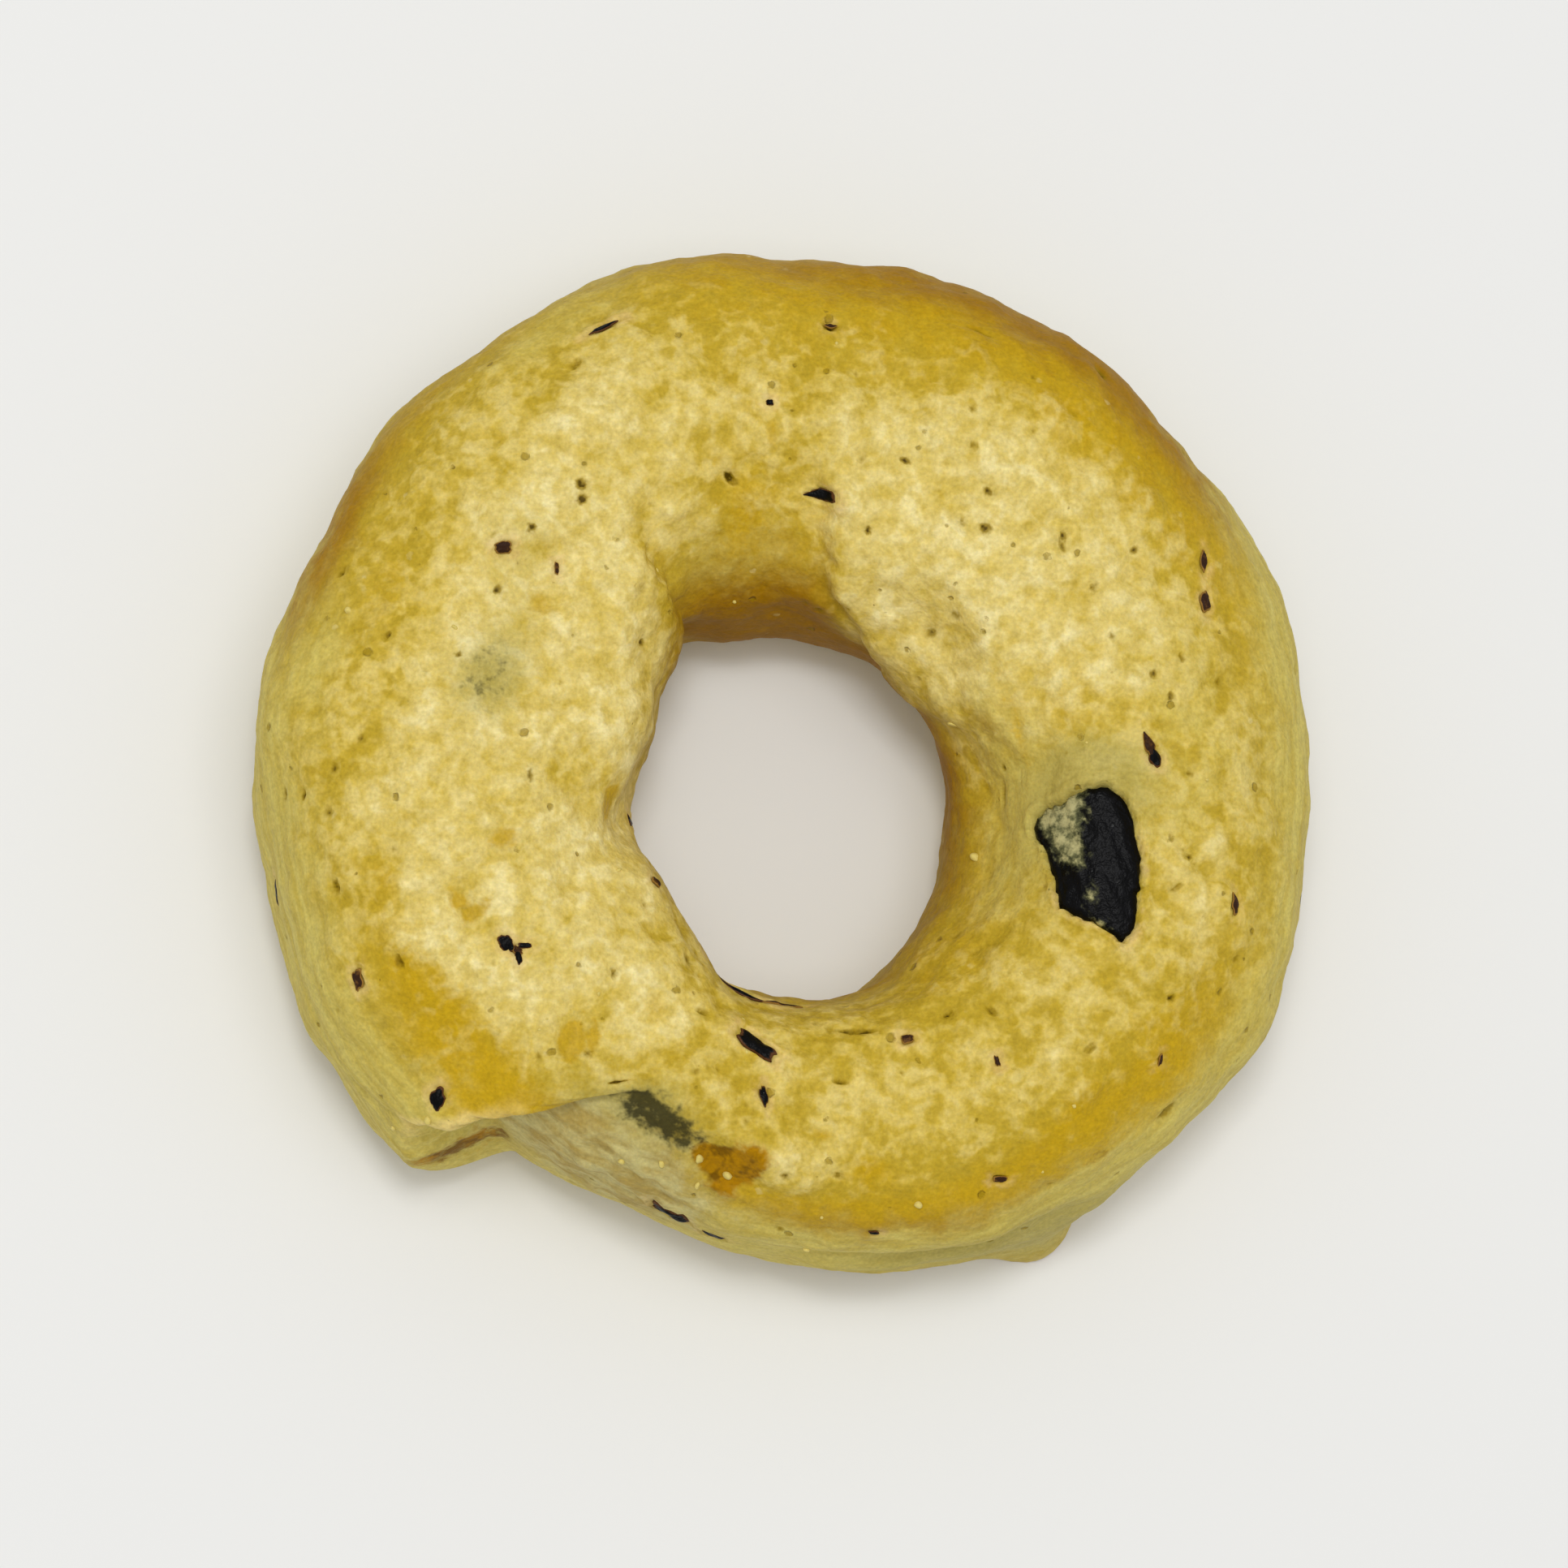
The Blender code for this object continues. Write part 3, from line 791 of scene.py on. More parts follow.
    def grid(self) -> tuple[bpy.types.Mesh, Values, Values]:
        """A plain ring mesh and the two angles of each of its vertices, closer together on top.

        Returns:
            The mesh, the ring angles and the rope angles.
        """
        mesh = bmesh.new()
        circle = bmesh.ops.create_circle(
            mesh, segments=self.steps_round_rope, radius=self.rope.rope_radius
        )
        for vert in circle["verts"]:
            vert.co = Vector((self.rope.ring_radius + vert.co.x, 0.0, vert.co.y))
        bmesh.ops.spin(
            mesh,
            geom=mesh.verts[:] + mesh.edges[:],
            cent=(0, 0, 0),
            axis=(0, 0, 1),
            angle=2 * math.pi,
            steps=self.steps_round_ring,
            use_merge=True,
        )
        bmesh.ops.recalc_face_normals(mesh, faces=mesh.faces)
        data = bpy.data.meshes.new("dough")
        mesh.to_mesh(data)
        mesh.free()
        places = np.empty(3 * len(data.vertices))
        data.vertices.foreach_get("co", places)
        places = places.reshape(-1, 3)
        angle = np.degrees(np.arctan2(places[:, 1], places[:, 0]))
        from_middle = np.hypot(places[:, 0], places[:, 1]) - self.rope.ring_radius
        around = np.degrees(np.arctan2(places[:, 2], from_middle))
        around = around + np.degrees(self.top_closeness * np.cos(np.radians(around)))
        return data, self.rope.lap.gather(angle, around), around

    def fine_relief(self, points: Values, angle: Values, around: Values) -> Values:
        """The crust's small unevenness: pebbles, grit, and the porous torn flank of the lap.

        Args:
            points: One row for each point of the large form.
            angle: Ring angles.
            around: Rope angles.

        Returns:
            How far each point stands out.
        """
        top = bell((half_turn(around) - self.top_around) / self.top_spread)
        flank = np.clip(self.relief(angle, around, self.zones[Zone.KHAKI]), 0, 1)
        strong = (0.2 + top) * (0.7 + 0.8 * grain(points, 5.0, 3.1))
        out = self.pebble_height * (pebbles(points, self.pebble_size) - 0.6) * strong
        out += self.grit_height * (pebbles(points, self.grit_size) - 0.6) * (0.3 + top)
        for size, shift, height, on_top, on_flank in self.grains:
            out += (height + on_top * top + on_flank * flank) * grain(points, size, shift)
        return out

    def pits(self, points: Values, around: Values) -> Values:
        """The smallest pores of the crust.

        Args:
            points: One row for each point.
            around: Rope angles.

        Returns:
            How deep each point lies in a pore.
        """
        draw = random.Random(self.pore_seed)
        deep = np.zeros(len(points))
        for _ in range(self.pore_count):
            chosen = draw.randrange(len(points))
            reach = draw.uniform(*self.pore_reach)
            depth = reach * draw.uniform(*self.pore_depth_share)
            stretch = Vector((draw.uniform(-1, 1), draw.uniform(-1, 1), draw.uniform(-0.3, 0.3)))
            stretch.normalize()
            near_top = bell((half_turn(around[chosen]) - self.pore_around) / self.pore_spread)
            if draw.random() > self.pore_least + (1 - self.pore_least) * near_top:
                continue
            away = points - points[chosen]
            along = away @ np.array(stretch)
            square = (away**2).sum(axis=1) - 0.6 * along**2
            near = square < (4 * reach) ** 2
            deep[near] = np.maximum(deep[near], depth * bell(np.sqrt(square[near]) / reach))
        return deep

    def dents(self, shreds: tuple[Shred, ...], angle: Values, around: Values) -> tuple[Values, Values]:
        """How the dough gives way to the shreds that lie in it, and closes up round them.

        Args:
            shreds: The olive shreds.
            angle: Ring angles.
            around: Rope angles.

        Returns:
            How far each point moves out, mostly negative, and how near it is to a shred's edge.
        """
        out = np.zeros(len(angle))
        rim = np.zeros(len(angle))
        for shred in shreds:
            patch = self.patch(shred.angle, shred.around)
            x, y = shred.from_patch(*patch.from_dough(angle, around))
            near = (np.abs(x) < shred.length) & (np.abs(y) < shred.width + 0.3)
            gap = (shred.outline(x[near], y[near]) - 1) * 0.5 * shred.width
            depth = self.socket_depth + self.socket_deeper * shred.width
            lip = self.socket_lip + self.socket_higher * shred.width
            out[near] += lip * bell((gap - 0.20) / self.socket_edge)
            out[near] -= depth * smooth_step((0.03 - gap) / self.socket_edge)
            share = smooth_step(x[near] / 1.8) if shred.traced else 0.7
            rim[near] = np.maximum(rim[near], share * bell((gap - 0.12) / 0.12))
        return out, rim

    def paint(self, data: bpy.types.Mesh, zone: Zone, values: Values) -> None:
        """Writes a zone's strength on the mesh."""
        layer = data.attributes.new(zone.value, "FLOAT", "POINT")
        layer.data.foreach_set("value", np.clip(values, 0.0, 1.0).astype(np.float32))

    def build(self, shreds: tuple[Shred, ...]) -> bpy.types.Object:
        """Makes the dough, dented where the shreds lie, with its zones written on it.

        Args:
            shreds: The olive shreds that lie in the crust.

        Returns:
            The dough's object.
        """
        data, angle, around = self.grid()
        form = self.form(angle, around)
        pores = self.relief(angle, around, self.pores) + self.pits(form, around)
        fine = self.fine_relief(form, angle, around)
        dents, rim = self.dents(shreds, angle, around)
        out = fine + self.relief(angle, around, self.small_forms) + dents - pores
        points = self.moved(form, angle, around, out)
        data.vertices.foreach_set("co", ((points + np.array(HOLE_AXIS)) * MM).ravel())
        self.paint_zones(data, form, angle, around)
        # How deep each pit is; the material paints it darker, a little olive and painted shade in the
        # hollow.
        self.paint(data, Zone.PIT, pores / self.full_pore)
        # The bumps' tops are painted lighter and the furrows darker: painted light and shade, with cream
        # dust on the tops.
        self.paint(data, Zone.RAISED_LIT_AND_SHADED, 0.5 + fine / self.full_relief)
        self.paint(data, Zone.RIM, rim)
        data.shade_smooth()
        data.update()
        return add_object("dough", data)

    def paint_zones(self, data: bpy.types.Mesh, form: Values, angle: Values, around: Values) -> None:
        """Writes every zone on the mesh.

        Args:
            data: The dough's mesh.
            form: Its points before the small relief.
            angle: Ring angles.
            around: Rope angles.
        """
        beyond = self.rope.lap.beyond(angle, around, self.rope.outer_radius)
        for zone, spots in self.zones.items():
            shown = smooth_step(beyond / self.khaki_edge) if zone is Zone.KHAKI else 1.0
            self.paint(data, zone, shown * self.relief(angle, around, spots))
        on_step = bell((half_turn(around) - self.lip_around) / self.lip_spread)
        self.paint(data, Zone.LIP_AND_HIGHLIGHT, on_step * bell((beyond - self.lip_beyond) / self.lip_width))
        side = bell((half_turn(around) - self.side_around) / self.side_spread)
        self.paint(data, Zone.SIDE, side)
        low = smooth_step((self.base_height - form[:, 2]) / (2 * self.base_height))
        self.paint(data, Zone.BASE, low)


class Recipe:
    """A material being made: adds shader nodes and joins them to its Principled shader."""

    def __init__(self, name: str) -> None:
        """Starts a material with a pattern space in metres on the object."""
        self.material = bpy.data.materials.new(name)
        self.material.use_nodes = True
        self.tree = self.material.node_tree
        self.shader = self.tree.nodes["Principled BSDF"]
        self.space = self.add("ShaderNodeTexCoord").outputs["Object"]

    def add(self, kind: str, **values: object) -> bpy.types.ShaderNode:
        """Adds a node.

        Args:
            kind: The node's type.
            values: Values of its inputs, by socket name with spaces as underscores.

        Returns:
            The node.
        """
        node = self.tree.nodes.new(kind)
        for name, value in values.items():
            self.feed(node.inputs[name.replace("_", " ")], value)
        return node

    def feed(self, socket: Socket, value: object) -> None:
        """Joins a socket to another or sets it to a constant."""
        if isinstance(value, Socket):
            self.tree.links.new(value, socket)
        else:
            socket.default_value = value

    def zone(self, zone: Zone) -> Socket:
        """A zone's strength."""
        node = self.add("ShaderNodeAttribute")
        node.attribute_name = zone.value
        return node.outputs["Fac"]

    def grain(
        self, size: float, detail: float = 2.0, roughness: float = 0.55, curl: float = 0.0
    ) -> Socket:
        """Noise.

        Args:
            size: How large its lumps are, in millimetres.
            detail: How many finer layers it has.
            roughness: How strong each finer layer is.
            curl: How far the lumps are curled up.

        Returns:
            The noise, about 0.5.
        """
        node = self.add(
            "ShaderNodeTexNoise",
            Vector=self.space,
            Scale=1 / (size * MM),
            Detail=detail,
            Roughness=roughness,
            Distortion=curl,
        )
        return node.outputs["Fac"]

    def streaks(self, thickness: float, turns: float = 4.8) -> Socket:
        """Noise drawn out along the ring.

        Args:
            thickness: How thick the streaks are, in millimetres.
            turns: How often they change round the ring.

        Returns:
            The streaks' strength, about 0.5.
        """
        per_streak = 1 / (thickness * MM)
        split = self.add("ShaderNodeSeparateXYZ", Vector=self.space)
        x = split.outputs["X"]
        y = self.plus(split.outputs["Y"], -HOLE_AXIS.y * MM)
        radius = self.math("SQRT", self.plus(self.times(x, x), self.times(y, y)))
        place = self.add(
            "ShaderNodeCombineXYZ",
            X=self.times(self.math("DIVIDE", x, radius), turns),
            Y=self.times(self.math("DIVIDE", y, radius), turns),
            Z=self.times(radius, per_streak),
        )
        node = self.add("ShaderNodeTexNoise", Vector=place.outputs["Vector"], Scale=1.0, Detail=2.0)
        node.noise_dimensions = "4D"
        self.feed(node.inputs["W"], self.times(split.outputs["Z"], per_streak))
        return node.outputs["Fac"]

    def pores(self, spacing: float, reach: float) -> Socket:
        """Scattered ragged pores of many sizes.

        Args:
            spacing: How far apart they lie, in millimetres.
            reach: The largest one's radius, in millimetres.

        Returns:
            1 inside each pore, 0 between them.
        """
        drift = 1.6 * reach * MM
        wander = self.add("ShaderNodeTexNoise", Vector=self.space, Scale=1 / drift)
        shifted = self.add("ShaderNodeVectorMath")
        shifted.operation = "MULTIPLY_ADD"
        self.feed(shifted.inputs[0], wander.outputs["Color"])
        self.feed(shifted.inputs[1], (drift,) * 3)
        self.feed(shifted.inputs[2], self.space)
        node = self.add(
            "ShaderNodeTexVoronoi", Vector=shifted.outputs["Vector"], Scale=1 / (spacing * MM)
        )
        chance = self.add("ShaderNodeSeparateColor", Color=node.outputs["Color"]).outputs["Red"]
        share = reach / spacing
        size = self.weigh((chance, 1.9 * share), plus=-0.9 * share)
        return self.ramp(self.math("SUBTRACT", node.outputs["Distance"], size), 0.3 * share, -0.3 * share)

    def ramp(self, value: Socket, low: float, high: float) -> Socket:
        """A value spread smoothly over 0 to 1 between two limits."""
        node = self.add("ShaderNodeMapRange", Value=value, From_Min=low, From_Max=high)
        node.interpolation_type = "SMOOTHSTEP"
        return node.outputs["Result"]

    def patch(self, zone: Zone, uneven: Socket, spread: float = 0.9, soft: float = 0.3) -> Socket:
        """A zone's strength with a ragged edge.

        Args:
            zone: The zone.
            uneven: Noise that frays its edge.
            spread: How far the noise moves the edge.
            soft: Half the width of the edge.

        Returns:
            The strength, 0 to 1.
        """
        strength = self.zone(zone)
        frayed = self.plus(strength, self.times(self.plus(uneven, -0.5), spread))
        return self.times(self.ramp(frayed, 0.5 - soft, 0.5 + soft), self.ramp(strength, 0.01, 0.15))

    def math(self, operation: str, first: object, second: object = 0.0) -> Socket:
        """The result of a sum on two values."""
        node = self.add("ShaderNodeMath")
        node.operation = operation
        self.feed(node.inputs[0], first)
        self.feed(node.inputs[1], second)
        return node.outputs["Value"]

    def times(self, first: object, second: object) -> Socket:
        """The product of two values."""
        return self.math("MULTIPLY", first, second)

    def plus(self, *values: object) -> Socket:
        """The sum of values."""
        total = values[0]
        for value in values[1:]:
            total = self.math("ADD", total, value)
        return total

    def weigh(self, *parts: tuple[object, float], plus: float = 0.0) -> Socket:
        """The sum of values, each times its weight, plus a constant."""
        return self.plus(*(self.times(value, weight) for value, weight in parts), plus)

    def mix(self, share: object, first: object, second: object) -> Socket:
        """A colour between two, by a share.

        Args:
            share: 0 for the first colour, 1 for the second.
            first: A colour or a socket.
            second: A colour or a socket.

        Returns:
            The mixed colour.
        """
        node = self.add("ShaderNodeMix")
        node.data_type = "RGBA"
        node.clamp_factor = True
        self.feed(node.inputs[0], share)
        self.feed(node.inputs[6], first)
        self.feed(node.inputs[7], second)
        return node.outputs[2]

    def shade(self, colour: object, value: Socket) -> Socket:
        """A colour made lighter or darker by a factor."""
        return self.add("ShaderNodeHueSaturation", Color=colour, Value=value).outputs["Color"]

    def bump(self, height: Socket) -> None:
        """Roughens the surface by a height pattern in millimetres."""
        node = self.add("ShaderNodeBump", Height=height, Distance=MM, Strength=1.0)
        self.feed(self.shader.inputs["Normal"], node.outputs["Normal"])

    def set(self, **values: object) -> None:
        """Sets or joins the shader's own inputs, by name with spaces as underscores."""
        for name, value in values.items():
            self.feed(self.shader.inputs[name.replace("_", " ")], value)


@dataclass(frozen=True)
class CrustFinish:
    """Baked dough: creamy dust on yellow, smooth and golden where it browned, greyish low down, with
    painted shade on the hole's walls, in its pits and in the furrows between bumps, and painted light on
    the bumps' tops and along the lap's lip.
    """

    dull: Colour = srgb(186, 157, 42)
    yellow: Colour = srgb(206, 178, 69)
    cream: Colour = srgb(225, 204, 124)
    # The lightest cream, also the colour of the painted glints on the bumps.
    light: Colour = srgb(242, 228, 166)
    gold: Colour = srgb(195, 158, 20)
    # Browned crust, and the painted shade of the hole's walls.
    brown: Colour = srgb(160, 116, 2)
    pale: Colour = srgb(213, 196, 104)
    drab: Colour = srgb(196, 174, 78)
    khaki: Colour = srgb(202, 189, 124)
    earthy: Colour = srgb(174, 150, 78)
    green: Colour = srgb(178, 164, 88)
    stain: Colour = srgb(30, 29, 12)
    orange: Colour = srgb(170, 122, 0)
    torn: Colour = srgb(120, 84, 0)
    window: Colour = srgb(190, 154, 20)
    # Pale dough of the lap's lip, with its painted highlight.
    lip: Colour = srgb(238, 212, 134)
    rim: Colour = srgb(228, 194, 134)
    # The inside of pores and pits: a little olive, and painted shade.
    hollow_and_shade: Colour = srgb(150, 122, 10)
    pore: Colour = srgb(76, 56, 0)
    base: Colour = srgb(226, 203, 150)
    blister: Colour = srgb(206, 158, 78)

    def colour(self, recipe: Recipe, patches: object, curds: object, fine: object) -> object:
        """The crust's colour without its pores.

        Args:
            recipe: The material being made.
            patches: Noise of a few millimetres.
            curds: Noise of about a millimetre.
            fine: Noise of a third of a millimetre.

        Returns:
            The colour's socket.
        """
        # How creamy the crust is: creamy dust, more on the bumps' tops as painted light, less where it
        # browned and in the painted shade of the hole's walls.
        dust = recipe.weigh(
            (patches, 0.15),
            (curds, 0.28),
            (recipe.ramp(recipe.grain(0.55, 1.5, 0.5, 0.4), 0.38, 0.64), 0.10),
            (recipe.zone(Zone.RAISED_LIT_AND_SHADED), 0.18),
            (fine, 0.12),
            (recipe.zone(Zone.CREAM), 0.16),
            (recipe.zone(Zone.GOLD), -0.10),
            (recipe.zone(Zone.BROWN), -0.20),
            plus=0.015,
        )
        under = recipe.mix(recipe.ramp(dust, 0.30, 0.52), self.dull, self.yellow)
        gold = recipe.times(recipe.patch(Zone.GOLD, curds, 1.3, 0.5), 0.92)
        under = recipe.mix(gold, under, self.gold)
        # Brown where the crust browned, and painted shade on the hole's walls.
        under = recipe.mix(recipe.patch(Zone.BROWN, curds, 0.9, 0.5), under, self.brown)
        colour = recipe.mix(recipe.ramp(dust, 0.37, 0.67), under, self.cream)
        colour = recipe.mix(recipe.ramp(dust, 0.57, 0.80), colour, self.light)
        # Light specks on the bumps' tops: painted glints.
        painted_glints = recipe.times(recipe.pores(1.2, 0.15), recipe.zone(Zone.RAISED_LIT_AND_SHADED))
        colour = recipe.mix(recipe.times(painted_glints, 0.5), colour, self.light)
        sides = recipe.mix(recipe.ramp(recipe.streaks(0.34), 0.25, 0.75), self.drab, self.pale)
        torn = recipe.weigh((recipe.streaks(0.45, 9.0), 0.6), (curds, 0.4))
        flank = recipe.mix(recipe.ramp(torn, 0.38, 0.62), self.earthy, self.khaki)
        blister = recipe.mix(recipe.ramp(curds, 0.42, 0.58), self.torn, self.orange)
        # Each zone over the ones before it: its noise, how far that frays its edge, half the
        # width of the edge, how much of its colour shows at most, and that colour.
        layers = (
            (Zone.PALE, curds, 1.0, 0.45, 1.0, sides),
            (Zone.KHAKI, curds, 1.2, 0.40, 1.0, flank),
            (Zone.GREEN, fine, 0.9, 0.45, 0.72, self.green),
            (Zone.ORANGE, fine, 0.9, 0.25, 1.0, blister),
            (Zone.WINDOW, fine, 1.1, 0.35, 0.85, self.window),
            (Zone.STAIN, fine, 2.0, 0.45, 0.88, self.stain),
        )
        for zone, uneven, spread, soft, most, over in layers:
            cover = recipe.times(recipe.patch(zone, uneven, spread, soft), most)
            colour = recipe.mix(cover, colour, over)
        rim = recipe.times(recipe.times(recipe.zone(Zone.RIM), recipe.ramp(curds, 0.35, 0.6)), 0.6)
        colour = recipe.mix(rim, colour, self.rim)
        # The lap's lip: pale dough and a painted highlight on its rounded edge.
        lip = recipe.times(recipe.patch(Zone.LIP_AND_HIGHLIGHT, curds, 0.7, 0.45), 0.75)
        return recipe.mix(lip, colour, self.lip)

    def material(self) -> bpy.types.Material:
        """Makes the dough's material.

        Returns:
            The material.
        """
        recipe = Recipe("baked_dough")
        patches = recipe.grain(2.6, 2.0)
        curds = recipe.grain(1.0, 3.0, 0.6, 0.3)
        fine = recipe.grain(0.36, 2.0, 0.6)
        dust = recipe.grain(0.13, 1.0)
        colour = self.colour(recipe, patches, curds, fine)
        # Pores, sunk in by the bump and painted darker: a little olive, and painted shade in the hollow.
        pores = recipe.pores(1.05, 0.15)
        colour = recipe.mix(recipe.times(pores, 0.7), colour, self.hollow_and_shade)
        toasted = recipe.weigh((recipe.grain(4.2, 2.0), 0.8), (curds, 0.2))
        underside = recipe.mix(recipe.ramp(toasted, 0.46, 0.70), self.base, self.blister)
        colour = recipe.mix(recipe.patch(Zone.BASE, curds, 0.9, 0.45), colour, underside)
        # Pits painted darker the deeper they are: a little olive, and painted shade in the hollow.
        pit = recipe.times(recipe.zone(Zone.PIT), recipe.weigh((fine, 2.4), plus=-0.25))
        colour = recipe.mix(recipe.times(recipe.ramp(pit, 0.14, 0.60), 0.8), colour, self.hollow_and_shade)
        colour = recipe.mix(recipe.times(recipe.ramp(pit, 0.50, 1.05), 0.9), colour, self.pore)
        smooth = recipe.plus(recipe.zone(Zone.GOLD), recipe.zone(Zone.WINDOW))
        side = recipe.times(recipe.streaks(0.30), recipe.zone(Zone.SIDE))
        recipe.set(
            Base_Color=recipe.shade(colour, recipe.weigh((dust, 0.44), (fine, 0.34), plus=0.60)),
            Roughness=recipe.weigh((curds, 0.25), (smooth, -0.10), plus=0.46),
            Specular_IOR_Level=0.08,
            Subsurface_Weight=0.10,
            Subsurface_Radius=(1.0, 0.6, 0.25),
            Subsurface_Scale=0.5 * MM,
        )
        recipe.bump(
            recipe.weigh((curds, 0.08), (fine, 0.05), (dust, 0.012), (pores, -0.06), (side, 0.035))
        )
        return recipe.material


@dataclass(frozen=True)
class OliveFinish:
    """Olive: dark and finely wrinkled, browner at its edges, with dough smeared on it in places."""

    name: str
    dark: Colour
    light: Colour
    edge: Colour
    roughness: float
    thick_smear: Colour = srgb(182, 174, 122)
    thin_smear: Colour = srgb(96, 96, 62)

    def material(self) -> bpy.types.Material:
        """Makes the shreds' material.

        Returns:
            The material.
        """
        recipe = Recipe(self.name)
        wrinkles = recipe.grain(0.35, 3.0, 0.65)
        fine = recipe.grain(0.17, 2.0)
        smear = recipe.patch(Zone.FILM, wrinkles, 1.5, 0.28)
        wet = recipe.times(recipe.ramp(recipe.grain(0.50, 2.0), 0.60, 0.68), 0.7)
        wet = recipe.math("SUBTRACT", wet, smear)
        colour = recipe.mix(recipe.ramp(wrinkles, 0.50, 0.75), self.dark, self.light)
        colour = recipe.mix(recipe.patch(Zone.RIM, wrinkles, 1.4, 0.35), colour, self.edge)
        thick = recipe.weigh((wrinkles, 0.8), (recipe.zone(Zone.FILM), 0.3))
        smeared = recipe.mix(recipe.ramp(thick, 0.54, 0.78), self.thin_smear, self.thick_smear)
        smeared = recipe.shade(smeared, recipe.weigh((fine, 0.4), plus=0.8))
        recipe.set(
            Base_Color=recipe.mix(smear, colour, smeared),
            Roughness=recipe.weigh((wet, -0.34), plus=self.roughness),
            Specular_IOR_Level=0.10,
        )
        recipe.bump(recipe.weigh((wrinkles, 0.08), (fine, 0.03)))
        return recipe.material


OLIVE_SKIN = OliveFinish("olive_skin", srgb(4, 4, 5), srgb(14, 14, 17), srgb(92, 58, 32), 0.42)
OLIVE_FLESH = OliveFinish(
    "olive_flesh", srgb(52, 30, 16), srgb(112, 74, 30), srgb(150, 112, 48), 0.55
)


@dataclass(frozen=True)
class CrumbFinish:
    """Loose grains of dough, baked pale."""

    colour: Colour = srgb(216, 196, 106)

    def material(self) -> bpy.types.Material:
        """Makes the crumbs' material.

        Returns:
            The material.
        """
        recipe = Recipe("crumbs")
        fine = recipe.grain(0.15, 2.0)
        recipe.set(
            Base_Color=recipe.shade(self.colour, recipe.weigh((fine, 0.4), plus=0.8)),
            Roughness=recipe.weigh((fine, 0.2), plus=0.45),
            Specular_IOR_Level=0.3,
        )
        recipe.bump(recipe.times(fine, 0.03))
        return recipe.material


